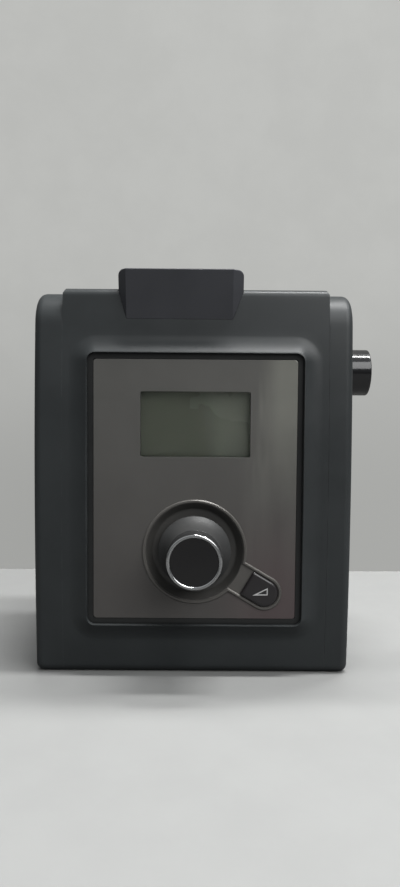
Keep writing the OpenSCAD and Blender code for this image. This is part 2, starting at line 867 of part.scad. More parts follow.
// Flared foot and straight grip about a hollow, with a collar bored for the shaft
module control_wheel() color([0.33, 0.33, 0.33]) {
    hollow_r = grip_r - 2;
    translate([0, 0, dial_z]) rotate([-90, 0, 0]) difference() {
        rotate_extrude() difference() {
            translate([0, grip_y]) square([skirt_r, skirt_y + skirt_edge - grip_y]);
            translate([grip_r + scoop_r, neck_y]) circle(scoop_r, $fn = 128);
            translate([grip_r, grip_y - 1]) square([skirt_r, grip_h + 1]);
            translate([collar_r, neck_y]) square([hollow_r - collar_r, HUGE]);
        }
        translate([0, 0, grip_y - 1]) cylinder(r = grip_r - ring_w, h = 2);
        translate([0, 0, grip_y + shaft_sink]) cylinder(r = shaft_r, h = HUGE);
    }
}

module wheel_ring() color([0.85, 0.86, 0.87]) {
    translate([0, 0, dial_z]) difference() {
        rod_y(grip_r, wheel_y, grip_y);
        rod_y(grip_r - ring_w, wheel_y - 1, grip_y + 1);
    }
}

module wheel_cap() color([0.13, 0.12, 0.12]) {
    translate([0, 0, dial_z]) rod_y(grip_r - ring_w, wheel_y + cap_drop, grip_y + 1);
}

module ramp_button() color([0.16, 0.16, 0.16]) {
    translate([0, 0, dial_z]) {
        along_y(ramp_top_y, ramp_top_y + ramp_t) ramp_outline(0);
        along_y(ramp_top_y + ramp_t, dish_floor_y - gap) ramp_outline(-1);
    }
    rod_y(2.2, dish_floor_y - gap, switch_y - plunger_t, ramp_x, ramp_z);
}

// White outline of a rising wedge on the button
module ramp_mark() color([0.95, 0.95, 0.95]) {
    tri = [[-3.5, -1.7], [3.1, 1.6], [3.1, -1.6]];
    inner = [[-1.3, -1.2], [2.6, 0.8], [2.6, -1.2]];
    along_y(ramp_top_y - mark_h, ramp_top_y) translate([ramp_x - 0.4, ramp_z + 0.2])
        difference() { polygon(tri); polygon(inner); }
}

module ramp_switch() color([0.2, 0.2, 0.2]) {
    difference() {
        box(ramp_x, switch_w, switch_y, user_y, ramp_z - switch_w / 2, ramp_z + switch_w / 2);
        rod_y(plunger_r + run, switch_y - 1, switch_y + 3, ramp_x, ramp_z);
    }
}

module ramp_plunger() color([0.8, 0.3, 0.1]) {
    rod_y(plunger_r, switch_y - plunger_t, switch_y + 3 - ramp_travel - gap, ramp_x, ramp_z);
}

module sounder() color([0.1, 0.1, 0.1]) {
    rod_y(5, user_back_y, user_back_y + 4, half_inside - 15, user_z + 16);
}

// ---- Boards and wiring ----

module main_board() color([0.08, 0.3, 0.16]) {
    difference() {
        box(0, main_w, main_y, main_back_y, main_z, main_z + main_h);
        at_main_screws() rod_y(small_r + seat, main_y - 1, main_back_y + 1);
    }
}

module board_capacitors() color([0.2, 0.22, 0.35]) {
    for (x = can_xs)
        rod_y(can_r, main_back_y, main_back_y + can_h, x, main_z + main_h - can_set);
}

module motor_driver() color([0.12, 0.12, 0.12]) {
    for (c = chips)
        box(c[0], c[1], main_back_y, main_back_y + chip_t, main_z + c[2], main_z + c[1] + c[2]);
}

// Flat flexible cable between the two boards
module ribbon_cable() color([0.85, 0.85, 0.8]) {
    z0 = user_z + ribbon_set;
    z1 = main_z + 2 * can_r;
    translate([-ribbon_w / 2, 0, 0]) rotate([90, 0, 90]) linear_extrude(ribbon_w)
        polygon([[user_back_y, z0], [main_y, z1], [main_y, z1 + ribbon_t],
            [user_back_y, z0 + ribbon_t]]);
}

module device_connector() color([0.1, 0.1, 0.1]) {
    difference() {
        box(half_block + connector_out - connector_w / 2, connector_w,
            connector_y - connector_d / 2, connector_y + connector_d / 2,
            connector_z - connector_h / 2, connector_z + connector_h / 2);
        box(half_block + connector_out, 2 * connector_out + connector_in,
            connector_y - connector_slot / 2, connector_y + connector_slot / 2,
            connector_z - connector_h / 2 + connector_slot, connector_z + connector_h / 2
            - connector_slot);
    }
}

module power_lead() color([0.12, 0.12, 0.12]) {
    top = main_z + main_h;
    start = body_h - socket_len - 4;
    down_x = half_inside - 14.5;
    lead([[inlet_x, inlet_y, start], [inlet_x, inlet_y, start - 18], [down_x, main_back_y + 8, top + 14],
        [down_x, main_back_y + lead_r, top], [down_x, main_back_y + lead_r, top - 12]], lead_r);
}

module motor_lead() color([0.7, 0.1, 0.1]) {
    r = 1.2;
    low = volute_z - volute_out - 3;
    lead([[axle_x, motor_y + 4, axle_z - motor_r], [axle_x, motor_y + 4, low + 4],
        [axle_x, main_y - r, low - 4], [axle_x, main_y - r, low - 14]], r);
}

// ---- Air path ----

module outlet_port() color([0.1, 0.1, 0.11]) {
    difference() {
        union() {
            rod_x(port_r, port_in, port_end, port_y, port_z);
            rod_x(port_root_r, half_inside - 1, right_x, port_y, port_z);
            rod_x(port_flange_r, half_inside - port_flange_t, half_inside, port_y, port_z);
        }
        rod_x(port_bore_r, port_in - 1, port_end + 1, port_y, port_z);
    }
}

module outlet_boot() color([0.15, 0.15, 0.16]) {
    difference() {
        union() {
            rod_x(port_r + boot_wall, boot_x, boot_x + boot_len, port_y, port_z);
            for (k = [-1, 0, 1]) {
                rib = boot_x + boot_len / 2 + 3 * k;
                rod_x(port_r + boot_wall + 1.2, rib - 0.75, rib + 0.75, port_y, port_z);
            }
        }
        rod_x(port_r, boot_x - 1, boot_x + boot_len + 1, port_y, port_z);
    }
}

module flow_sensor() color([0.1, 0.25, 0.14]) {
    x = boot_x + boot_len - 4;
    difference() {
        box(x, 8, port_y - 5, port_y + 5, port_z + port_r, port_z + port_r + boot_wall + 4);
        rod_x(port_r + boot_wall, boot_x, boot_x + boot_len, port_y, port_z);
    }
}

module volute_solid(grow) {
    rod_y(volute_r + grow, port_y - stub_r - grow, port_y + stub_r + grow, -blower_x, volute_z);
    rod_x(stub_r + grow, -blower_x, stub_out + (grow > 0 ? 0 : 1), port_y, port_z);
}

module blower_front_housing() color([0.75, 0.75, 0.72]) {
    difference() {
        intersection() {
            volute_solid(volute_wall);
            box(0, HUGE, -HUGE, port_y, -HUGE, HUGE);
        }
        volute_solid(0);
        rod_y(bearing_r + run, -HUGE, port_y, axle_x, axle_z);
    }
}

module blower_back_housing() color([0.75, 0.75, 0.72]) {
    difference() {
        union() {
            intersection() {
                volute_solid(volute_wall);
                box(0, HUGE, port_y, HUGE, -HUGE, HUGE);
            }
            rod_y(eye_r + volute_wall, volute_back - 0.1, volute_back + eye_lip, axle_x, axle_z);
            for (p = lugs) {
                away = p - [-blower_x, volute_z];
                angle = atan2(away.y, away.x);
                along_y(lug_y, lug_y + lug_t) translate([-blower_x, volute_z]) rotate(angle) {
                    translate([volute_r, -lug_r]) square([norm(away) - volute_r, 2 * lug_r]);
                    translate([norm(away), 0]) circle(lug_r);
                }
            }
        }
        volute_solid(0);
        rod_y(eye_r, 0, HUGE, axle_x, axle_z);
        at_lugs() rod_y(small_r + seat, 0, HUGE);
    }
}

module impeller() color([0.9, 0.9, 0.88]) {
    translate([axle_x, 0, axle_z]) difference() {
        union() {
            rod_y(impeller_r, plate_y, plate_y + plate_t);
            rod_y(hub_r, plate_y, plate_y + hub_h);
            along_y(plate_y + plate_t, plate_y + plate_t + blade_h) blades();
        }
        rod_y(spindle_r, plate_y - 1, plate_y + hub_h + 1);
    }
}

// Backward-curved blades between the eye and the impeller's rim
module blades() {
    sweep = impeller_r * 0.6;
    intersection() {
        difference() { circle(impeller_r - 0.3); circle(eye_r - 2.5); }
        for (i = [0 : blade_count - 1]) rotate(360 / blade_count * i)
            translate([sweep, 0]) difference() {
                circle(sweep);
                circle(sweep - 1);
                translate([-2 * impeller_r, 0]) square([4 * impeller_r, 2 * impeller_r]);
            }
    }
}

module motor_shaft() color([0.8, 0.8, 0.82]) {
    rod_y(spindle_r, motor_y + motor_wall, plate_y + hub_h, axle_x, axle_z);
}

module motor_rotor() color([0.35, 0.35, 0.37]) {
    difference() {
        rod_y(rotor_r, motor_y + motor_wall + bearing_t + rotor_gap / 2,
            volute_front - rotor_gap, axle_x, axle_z);
        rod_y(spindle_r, -HUGE, 0, axle_x, axle_z);
    }
}

module motor_case() color([0.6, 0.61, 0.62]) {
    difference() {
        rod_y(motor_r, motor_y, volute_front, axle_x, axle_z);
        rod_y(motor_r - motor_wall, motor_y + motor_wall + bearing_t, volute_front + 1, axle_x, axle_z);
        rod_y(bearing_r, motor_y + motor_wall, 0, axle_x, axle_z);
    }
}

module motor_coils() color([0.7, 0.4, 0.2]) {
    difference() {
        rod_y(motor_r - motor_wall - seat, motor_y + motor_wall + bearing_t,
            volute_front - rotor_gap, axle_x, axle_z);
        rod_y(rotor_r + gap, -HUGE, 0, axle_x, axle_z);
    }
}

module motor_bearings() color([0.7, 0.7, 0.72]) {
    for (y = [motor_y + motor_wall, volute_front])
        difference() {
            rod_y(bearing_r, y, y + bearing_t, axle_x, axle_z);
            rod_y(spindle_r + run, y - 1, y + bearing_t + 1, axle_x, axle_z);
        }
}

module blower_mounts() color([0.1, 0.1, 0.1]) {
    at_lugs() difference() {
        rod_y(mount_r, lug_y + lug_t, lug_y + lug_t + mount_t);
        rod_y(small_r + seat, 0, HUGE);
    }
}

module silencer_foam() color([0.3, 0.3, 0.32]) {
    z0 = volute_z - 26;
    z1 = fine_z - grille_t - 4;
    x0 = -foot_x + foot_r + 3;
    x1 = lugs[2].x - lug_post_r - 1.5;
    y0 = volute_back + eye_lip;
    shift = wall / cos(tilt) + seat;
    difference() {
        translate([x0, 0, 0]) rotate([90, 0, 90]) linear_extrude(x1 - x0)
            polygon([[y0, z0], [back_at(z0) - shift, z0], [back_at(z1) - shift, z1], [y0, z1]]);
        rod_y(eye_r, 0, y0 + 10, axle_x, axle_z);
    }
}

// ---- Upper end: filter, power inlet and card module ----

module filter_door() color([0.16, 0.17, 0.18]) {
    slats = 7;
    pitch = (filter_w - 8) / slats;
    difference() {
        box(filter_mid, filter_w - 2 * gap, filter_y + gap, filter_y + filter_d - gap, door_z,
            body_h);
        for (i = [0 : slats - 1])
            box(filter_mid + (i - (slats - 1) / 2) * pitch, pitch / 2, filter_y + 4,
                filter_y + filter_d - 4, door_z - 1, body_h + 1);
    }
}

module foam_filter() color([0.4, 0.4, 0.42]) {
    box(filter_mid, filter_w, filter_y, filter_y + filter_d, foam_z, foam_z + foam_t);
}

module fine_filter() color([0.92, 0.92, 0.9]) {
    box(filter_mid, filter_w, filter_y, filter_y + filter_d, fine_z, fine_z + fine_t);
}

module filter_grille() color([0.16, 0.17, 0.18]) {
    bars_n = 9;
    pitch = filter_w / bars_n;
    difference() {
        box(filter_mid, filter_w, filter_y, filter_y + filter_d, fine_z - grille_t, fine_z);
        for (i = [0 : bars_n - 1])
            box(filter_mid + (i - (bars_n - 1) / 2) * pitch, pitch * 0.6, filter_y + 2,
                filter_y + filter_d - 2, fine_z - grille_t - 1, fine_z + 1);
    }
}

module power_inlet() color([0.08, 0.08, 0.08]) {
    translate([inlet_x, inlet_y, 0]) difference() {
        union() {
            translate([0, 0, body_h - socket_len - 4]) cylinder(r = inlet_r, h = socket_len + 4);
            translate([0, 0, body_h - wall - 2]) cylinder(r = inlet_r + 1.5, h = 2);
        }
        translate([0, 0, body_h - guide_len]) cylinder(r = guide_r, h = guide_len + 1);
        translate([0, 0, body_h - socket_len]) cylinder(r = socket_r, h = socket_len);
        translate([0, 0, body_h - socket_len - 2]) cylinder(r = pin_r, h = 3);
    }
}

module inlet_pin() color([0.8, 0.65, 0.3]) {
    translate([inlet_x, inlet_y, body_h - socket_len - 2])
        cylinder(r = pin_r, h = socket_len + 2 - guide_len - 0.5);
}

// Head with its slanted front and right facet, and the body that slides into the bay
module card_module() color([0.2, 0.21, 0.24]) {
    x0 = -card_left;
    x1 = card_w - card_left;
    top = card_head_z;
    slip = card_inner_y - gap;
    difference() {
        union() {
            intersection() {
                translate([x0, 0, 0]) rotate([90, 0, 90]) linear_extrude(card_w)
                    polygon([[card_front_y, card_split_z], [card_lip_y, top - 1.5],
                        [card_lip_y + 0.5, top - 0.5], [card_lip_y + 1.5, top],
                        [card_back_y, top], [card_back_y, body_h + gap],
                        [slip, body_h + gap], [slip, card_split_z]]);
                along_y(-HUGE, HUGE) intersection() {
                    round_top(x0, x1, card_split_z - 1, top, 2.4);
                    head_outline(0);
                }
            }
            box(card_mid, card_body_w, slip - 0.3, card_back_y, card_low_z, body_h + 1);
        }
        facet(x1, top);
        translate([2 * card_mid, 0, 0]) mirror([1, 0, 0]) facet(x1, top);
        box(card_mid, sd_w + 2 * gap, sd_y - sd_t / 2 - gap, sd_y + sd_t / 2 + gap,
            sd_top - sd_len - gap, HUGE);
        box(card_mid, contact_w + 2 * gap, sd_y - contact_t / 2 - gap, sd_y + contact_t / 2 + gap,
            card_low_z - 1, card_low_z + contact_h + gap);
    }
}

// Rectangle with its two upper corners rounded
module round_top(x0, x1, z0, z1, r) {
    translate([x0, z0]) square([x1 - x0, z1 - z0 - r]);
    translate([x0 + r, z0]) square([x1 - x0 - 2 * r, z1 - z0]);
    for (x = [x0 + r, x1 - r]) translate([x, z1 - r]) circle(r);
}

// Wedge that cuts the facet down the head's right front edge
module facet(x1, top) {
    inner = x1 - facet_w;
    hull() {
        translate([inner, card_front_y - 0.01, card_split_z]) cube([0.01, 0.01, 0.01]);
        translate([inner, card_lip_y - 1, top + 1]) cube([2 * facet_w, 1, 0.01]);
        translate([x1, card_lip_y - 1, body_h - 1]) cube([facet_w, facet_d + 1, top - body_h + 2]);
        translate([x1, card_lip_y - 1, card_split_z - 1]) cube([facet_w, 1, 0.01]);
    }
}

module sd_card() color([0.12, 0.2, 0.45]) {
    box(card_mid, sd_w, sd_y - sd_t / 2, sd_y + sd_t / 2, sd_top - sd_len, sd_top);
}

module card_bay() color([0.16, 0.17, 0.18]) {
    inner = card_body_w + 2 * gap;
    floor_z = card_low_z - gap - bay_wall;
    front = card_inner_y + 1.5;
    difference() {
        box(card_mid, inner + 2 * bay_wall, front, card_back_y + gap + bay_wall, floor_z,
            body_h - wall);
        box(card_mid, inner, front - 1, card_back_y + gap, floor_z + bay_wall, body_h);
        box(card_mid, contact_w, sd_y - contact_t / 2, sd_y + contact_t / 2, floor_z - 1,
            floor_z + bay_wall + 1);
    }
}

module card_connector() color([0.85, 0.83, 0.75]) {
    top = card_low_z - gap - bay_wall;
    box(card_mid, contact_w + 4, sd_y - contact_t, sd_y + contact_t, top - 5, top);
    box(card_mid, contact_w, sd_y - contact_t / 2, sd_y + contact_t / 2, top,
        card_low_z + contact_h - gap);
}

// Spring-loaded tab in the slanted base that frees the right cover
module release_tab() color([0.24, 0.25, 0.26]) {
    on_base(tab_x, tab_s) difference() {
        translate([-tab_w / 2, -tab_len / 2, -tab_t]) cube([tab_w, tab_len, tab_t]);
        for (k = [-1, 0, 1]) translate([-tab_w / 2 - 1, 3 * k - 0.5, -0.6])
            cube([tab_w + 2, 1, 1]);
    }
}

// ---- Feet and fasteners ----

module rubber_feet() color([0.1, 0.1, 0.1]) {
    at_feet() translate([0, 0, -foot_sink]) cylinder(r = foot_r, h = foot_sink + foot_h);
}

module screw(y, r, head, head_len, len) {
    rod_y(r, y - len, y);
    difference() {
        rod_y(head, y, y + head_len);
        for (a = [0, 90]) rotate([0, a, 0])
            translate([-0.35, y + head_len / 2, -head * 0.65]) cube([0.7, head_len, head * 1.3]);
    }
}

module case_screws() color([0.6, 0.6, 0.62]) {
    at_screws() screw(screw_seat_y, screw_r, head_r, head_t, pilot_depth - 1);
}

// Small screws driven from the front or the back of a board
module small_screw(y, back) {
    translate([0, y, 0]) rotate([0, 0, back ? 0 : 180])
        screw(0, small_r, small_head_r, small_head_t, small_len - 0.5 + board_t);
}

module board_screws() color([0.7, 0.7, 0.72]) {
    at_user_screws() small_screw(user_back_y, true);
    at_main_screws() small_screw(main_y, false);
}

module blower_screws() color([0.7, 0.7, 0.72]) {
    at_lugs() translate([0, lug_y, 0]) rotate([0, 0, 180])
        screw(0, small_r, small_head_r, small_head_t, lug_t + mount_t + 6);
}

front_shell();
base_shell();
left_side_cover();
right_side_cover();
panel_bezel();
control_panel();
display_window();
lcd_glass();
lcd_backlight();
lcd_frame();
user_board();
dial_dish();
encoder_body();
encoder_plunger();
encoder_shaft();
control_wheel();
wheel_ring();
wheel_cap();
ramp_button();
ramp_mark();
ramp_switch();
ramp_plunger();
sounder();
main_board();
board_capacitors();
motor_driver();
ribbon_cable();
device_connector();
outlet_port();
outlet_boot();
flow_sensor();
blower_front_housing();
blower_back_housing();
impeller();
motor_shaft();
motor_rotor();
motor_case();
motor_coils();
motor_bearings();
blower_mounts();
silencer_foam();
filter_door();
foam_filter();
fine_filter();
filter_grille();
power_inlet();
inlet_pin();
power_lead();
motor_lead();
card_module();
sd_card();
card_bay();
card_connector();
release_tab();
rubber_feet();
case_screws();
board_screws();
blower_screws();
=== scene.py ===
import json
import math

import bmesh
import bpy
from mathutils import Matrix, Vector


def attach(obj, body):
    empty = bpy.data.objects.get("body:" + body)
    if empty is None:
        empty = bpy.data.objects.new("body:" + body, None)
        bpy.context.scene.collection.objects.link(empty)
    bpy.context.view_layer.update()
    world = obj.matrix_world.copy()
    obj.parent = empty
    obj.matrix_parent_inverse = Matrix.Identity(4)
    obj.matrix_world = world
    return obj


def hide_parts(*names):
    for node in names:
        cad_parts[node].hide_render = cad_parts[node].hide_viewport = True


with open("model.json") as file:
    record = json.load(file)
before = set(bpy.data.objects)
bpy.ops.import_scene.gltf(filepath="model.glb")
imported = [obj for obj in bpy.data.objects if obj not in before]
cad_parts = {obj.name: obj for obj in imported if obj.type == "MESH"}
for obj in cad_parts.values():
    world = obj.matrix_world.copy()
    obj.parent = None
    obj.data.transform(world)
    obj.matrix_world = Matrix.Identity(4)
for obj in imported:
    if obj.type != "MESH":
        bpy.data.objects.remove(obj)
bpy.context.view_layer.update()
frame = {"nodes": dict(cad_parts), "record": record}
nodes = frame["nodes"]
slotOf = {p["node"]: p["material_slot"] for p in frame["record"]["subparts"]}
mm = 0.001
print("frame loaded:", len(nodes), "nodes")


# camera, as the photograph was taken
view = {"at": (1.049, -322.745, 116.708), "pitch": -2.889, "yaw": -0.197, "roll": 0.441,
        "focal": 27.19}


def addToScene(name, data):
    holder = bpy.data.objects.new(name, data)
    bpy.context.scene.collection.objects.link(holder)
    return holder


def addCamera(v):
    camera = bpy.data.cameras.new("camera")
    camera.sensor_fit = "VERTICAL"
    camera.sensor_height = 36
    camera.sensor_width = 36
    camera.lens = v["focal"]
    camera.clip_start = 0.01
    holder = addToScene("camera", camera)
    turn = (Matrix.Rotation(math.radians(v["yaw"]), 4, "Z")
            @ Matrix.Rotation(math.radians(90 + v["pitch"]), 4, "X")
            @ Matrix.Rotation(math.radians(v["roll"]), 4, "Z"))
    holder.matrix_world = Matrix.Translation(Vector(v["at"]) * mm) @ turn
    bpy.context.scene.camera = holder


addCamera(view)


# shader groups that the materials share
floatKind = "NodeSocketFloat"


def link(tree, a, b):
    tree.links.new(a, b)


def newGroup(name, inputs, outputs):
    group = bpy.data.node_groups.new(name, "ShaderNodeTree")
    for label, kind, value in inputs:
        socket = group.interface.new_socket(label, in_out="INPUT", socket_type=kind)
        socket.default_value = value
    for label, kind in outputs:
        group.interface.new_socket(label, in_out="OUTPUT", socket_type=kind)
    start = group.nodes.new("NodeGroupInput")
    end = group.nodes.new("NodeGroupOutput")
    return group, start, end


def calc(tree, operation, a, b=None, clamp=False):
    node = tree.nodes.new("ShaderNodeMath")
    node.operation = operation
    node.use_clamp = clamp
    for socket, value in zip(node.inputs, (a, b)):
        if value is None:
            continue
        if isinstance(value, (int, float)):
            socket.default_value = value
        else:
            link(tree, value, socket)
    return node.outputs[0]


def product(tree, first, *others):
    for value in others:
        first = calc(tree, "MULTIPLY", first, value)
    return first


def objectPlace(tree):
    return tree.nodes.new("ShaderNodeTexCoord").outputs["Object"]


def splitAxes(tree, vector):
    split = tree.nodes.new("ShaderNodeSeparateXYZ")
    link(tree, vector, split.inputs[0])
    return split.outputs


def noise(tree, vector, scale, detail=3.0, rough=0.55):
    node = tree.nodes.new("ShaderNodeTexNoise")
    link(tree, vector, node.inputs["Vector"])
    if isinstance(scale, (int, float)):
        node.inputs["Scale"].default_value = scale
    else:
        link(tree, scale, node.inputs["Scale"])
    node.inputs["Detail"].default_value = detail
    node.inputs["Roughness"].default_value = rough
    return node.outputs["Fac"]


def ramp(tree, value, low, high, outLow=0.0, outHigh=1.0):
    node = tree.nodes.new("ShaderNodeMapRange")
    node.interpolation_type = "SMOOTHSTEP"
    link(tree, value, node.inputs["Value"])
    for label, number in zip(("From Min", "From Max", "To Min", "To Max"),
                             (low, high, outLow, outHigh)):
        node.inputs[label].default_value = number
    return node.outputs["Result"]


def mouldGrainGroup():
    group, start, end = newGroup("mouldGrain", [("Scale", floatKind, 2600.0)],
                                 [("Height", floatKind), ("Variation", floatKind)])
    place = objectPlace(group)
    fine = noise(group, place, start.outputs["Scale"], 2.0, 0.6)
    pits = group.nodes.new("ShaderNodeTexVoronoi")
    pits.feature = "SMOOTH_F1"
    link(group, place, pits.inputs["Vector"])
    link(group, start.outputs["Scale"], pits.inputs["Scale"])
    height = calc(group, "ADD", product(group, fine, 0.6),
                  product(group, pits.outputs["Distance"], 0.6))
    link(group, height, end.inputs["Height"])
    broad = noise(group, place, 28.0, 4.0, 0.6)
    link(group, ramp(group, broad, 0.3, 0.7), end.inputs["Variation"])
    return group


def edgeWearGroup():
    group, start, end = newGroup("edgeWear", [("Patchiness", floatKind, 90.0)],
                                 [("Mask", floatKind)])
    soft = group.nodes.new("ShaderNodeBevel")
    soft.samples = 4
    soft.inputs["Radius"].default_value = 0.0006
    shape = group.nodes.new("ShaderNodeNewGeometry")
    dot = group.nodes.new("ShaderNodeVectorMath")
    dot.operation = "DOT_PRODUCT"
    link(group, soft.outputs["Normal"], dot.inputs[0])
    link(group, shape.outputs["Normal"], dot.inputs[1])
    edge = ramp(group, dot.outputs["Value"], 0.995, 0.9)
    place = objectPlace(group)
    patches = ramp(group, noise(group, place, start.outputs["Patchiness"], 4.0, 0.65), 0.42, 0.62)
    link(group, product(group, edge, patches), end.inputs["Mask"])
    return group


def dustGroup():
    group, start, end = newGroup("settledDust", [("Amount", floatKind, 0.3)],
                                 [("Mask", floatKind)])
    shape = group.nodes.new("ShaderNodeNewGeometry")
    upward = ramp(group, splitAxes(group, shape.outputs["Normal"])["Z"], 0.15, 0.95, 0.12, 1.0)
    place = objectPlace(group)
    cloud = ramp(group, noise(group, place, 60.0, 6.0, 0.7), 0.35, 0.75)
    specks = ramp(group, noise(group, place, 1500.0, 1.0, 0.5), 0.68, 0.76)
    both = calc(group, "ADD", cloud, product(group, specks, 1.5), clamp=True)
    mask = calc(group, "MULTIPLY", product(group, upward, both), start.outputs["Amount"],
                clamp=True)
    link(group, mask, end.inputs["Mask"])
    return group


grainNodes = mouldGrainGroup()
wearNodes = edgeWearGroup()
dustNodes = dustGroup()


def useGroup(tree, group, **values):
    node = tree.nodes.new("ShaderNodeGroup")
    node.node_tree = group
    for label, value in values.items():
        node.inputs[label].default_value = value
    return node


def mixColour(tree, mask, a, b):
    node = tree.nodes.new("ShaderNodeMix")
    node.data_type = "RGBA"
    link(tree, mask, node.inputs["Factor"])
    for label, value in (("A", a), ("B", b)):
        socket = [s for s in node.inputs if s.name == label and s.type == "RGBA"][0]
        if isinstance(value, tuple):
            socket.default_value = (*value, 1.0)
        else:
            link(tree, value, socket)
    return [s for s in node.outputs if s.type == "RGBA"][0]


def blankMaterial(name):
    material = bpy.data.materials.new(name)
    material.use_nodes = True
    tree = material.node_tree
    shader = tree.nodes["Principled BSDF"]
    return material, tree, shader


def setRough(tree, shader, grain, low, high):
    link(tree, ramp(tree, grain.outputs["Variation"], 0.0, 1.0, low, high),
         shader.inputs["Roughness"])


def addBump(tree, shader, grain, strength, depth):
    bump = tree.nodes.new("ShaderNodeBump")
    bump.inputs["Strength"].default_value = strength
    bump.inputs["Distance"].default_value = depth
    link(tree, grain.outputs["Height"], bump.inputs["Height"])
    link(tree, bump.outputs["Normal"], shader.inputs["Normal"])


# the usual values, which a finish may change; a depth of 0 leaves the surface smooth
usual = {"shift": 1.18, "wear": 0.0, "dust": 0.05, "metal": 0.0, "coat": 0.0, "coatRough": 0.1,
         "depth": 0.00003, "strength": 0.25, "dustColour": (0.30, 0.29, 0.27)}


def makeFinish(name, changes):
    look = {**usual, **changes}
    material, tree, shader = blankMaterial(name)
    grain = useGroup(tree, grainNodes, Scale=look["grain"])
    tint = tuple(c * look["shift"] for c in look["colour"])
    colour = mixColour(tree, grain.outputs["Variation"], look["colour"], tint)
    if look["wear"]:
        wear = useGroup(tree, wearNodes, Patchiness=90.0)
        worn = product(tree, wear.outputs["Mask"], look["wear"])
        colour = mixColour(tree, worn, colour, look["worn"])
    if look["dust"]:
        dust = useGroup(tree, dustNodes, Amount=look["dust"])
        colour = mixColour(tree, dust.outputs["Mask"], colour, look["dustColour"])
    link(tree, colour, shader.inputs["Base Color"])
    setRough(tree, shader, grain, *look["rough"])
    shader.inputs["Metallic"].default_value = look["metal"]
    shader.inputs["Coat Weight"].default_value = look["coat"]
    shader.inputs["Coat Roughness"].default_value = look["coatRough"]
    if look["depth"]:
        addBump(tree, shader, grain, look["strength"], look["depth"])
    return material


# one dictionary per finish: colours are linear, lengths in metres
finishes = {
    "shell": {"colour": (0.033, 0.0375, 0.039), "rough": (0.38, 0.46), "grain": 2600.0,
              "depth": 0.00006, "wear": 0.5, "worn": (0.075, 0.08, 0.082)},
    "base": {"colour": (0.034, 0.038, 0.04), "rough": (0.52, 0.62), "grain": 2400.0,
             "depth": 0.00007, "wear": 0.5, "worn": (0.07, 0.075, 0.078), "dust": 0.12},
    "bezel": {"colour": (0.019, 0.02, 0.02), "rough": (0.34, 0.42), "grain": 3200.0,
              "wear": 0.4, "worn": (0.06, 0.062, 0.064)},
    "dish": {"colour": (0.155, 0.148, 0.138), "rough": (0.34, 0.44), "grain": 4200.0,
             "depth": 0.00002, "metal": 0.35},
    "bowl": {"colour": (0.07, 0.068, 0.064), "rough": (0.42, 0.52), "grain": 3600.0},
    "wheel": {"colour": (0.062, 0.063, 0.063), "rough": (0.46, 0.54), "grain": 3600.0,
              "metal": 0.25, "wear": 0.4, "worn": (0.22, 0.22, 0.22), "dust": 0.08},
    "gloss_black": {"colour": (0.009, 0.009, 0.01), "rough": (0.1, 0.22), "grain": 1800.0,
                    "depth": 0.00001, "coat": 0.5, "coatRough": 0.06, "dust": 0.06},
    "black": {"colour": (0.0095, 0.009, 0.0095), "rough": (0.42, 0.52), "grain": 3000.0,
              "wear": 0.5, "worn": (0.05, 0.05, 0.05)},
    "chrome": {"colour": (0.66, 0.665, 0.67), "rough": (0.06, 0.14), "grain": 900.0,
               "metal": 1.0, "shift": 0.86, "dust": 0.06, "depth": 0.0},
    "steel": {"colour": (0.52, 0.52, 0.51), "rough": (0.28, 0.42), "grain": 1600.0,
              "metal": 1.0, "shift": 0.85, "depth": 0.00002, "dust": 0.06},
    "pcb": {"colour": (0.012, 0.085, 0.035), "rough": (0.28, 0.42), "grain": 1200.0,
            "coat": 0.2},
    "part_dark": {"colour": (0.02, 0.02, 0.022), "rough": (0.42, 0.55), "grain": 2200.0},
    "can": {"colour": (0.05, 0.07, 0.16), "rough": (0.3, 0.4), "grain": 1800.0,
            "depth": 0.00002},
    "housing": {"colour": (0.48, 0.48, 0.45), "rough": (0.4, 0.52), "grain": 1800.0,
                "depth": 0.00005, "shift": 0.9, "dust": 0.1},
    "rubber": {"colour": (0.022, 0.022, 0.023), "rough": (0.66, 0.8), "grain": 1600.0,
               "depth": 0.00008, "dust": 0.2},
    "copper": {"colour": (0.6, 0.27, 0.13), "rough": (0.24, 0.36), "grain": 1500.0,
               "metal": 1.0, "shift": 0.8, "dust": 0.0},
    "brass": {"colour": (0.62, 0.47, 0.19), "rough": (0.22, 0.34), "grain": 1500.0,
              "metal": 1.0, "shift": 0.85, "depth": 0.00002, "dust": 0.0},
    "foam": {"colour": (0.035, 0.036, 0.038), "rough": (0.88, 0.98), "grain": 900.0,
             "depth": 0.0005, "strength": 0.8, "shift": 1.6, "dust": 0.25},
    "felt": {"colour": (0.62, 0.63, 0.62), "rough": (0.85, 0.95), "grain": 2000.0,
             "depth": 0.0002, "strength": 0.6, "shift": 0.85, "dust": 0.15},
    "module": {"colour": (0.061, 0.063, 0.071), "rough": (0.34, 0.42), "grain": 2600.0,
               "depth": 0.00005, "wear": 0.5, "worn": (0.08, 0.085, 0.1), "dust": 0.08},
    "card": {"colour": (0.018, 0.03, 0.09), "rough": (0.34, 0.44), "grain": 2600.0,
             "dust": 0.04},
    "mark": {"colour": (0.78, 0.78, 0.77), "rough": (0.45, 0.6), "grain": 3000.0, "shift": 0.9,
             "depth": 0.0},
    "red": {"colour": (0.45, 0.03, 0.02), "rough": (0.4, 0.52), "grain": 2200.0},
    "white": {"colour": (0.72, 0.73, 0.7), "rough": (0.38, 0.5), "grain": 2200.0,
              "shift": 0.92},
    "buttonBlack": {"colour": (0.0135, 0.011, 0.0125), "rough": (0.3, 0.4), "grain": 3200.0,
                    "depth": 0.00002, "coat": 0.8, "coatRough": 0.16, "dust": 0.04},
    "outletBlack": {"colour": (0.012, 0.012, 0.013), "rough": (0.1, 0.16), "grain": 1800.0,
                    "depth": 0.000004, "coat": 0.5, "coatRough": 0.07, "dust": 0.03},
}
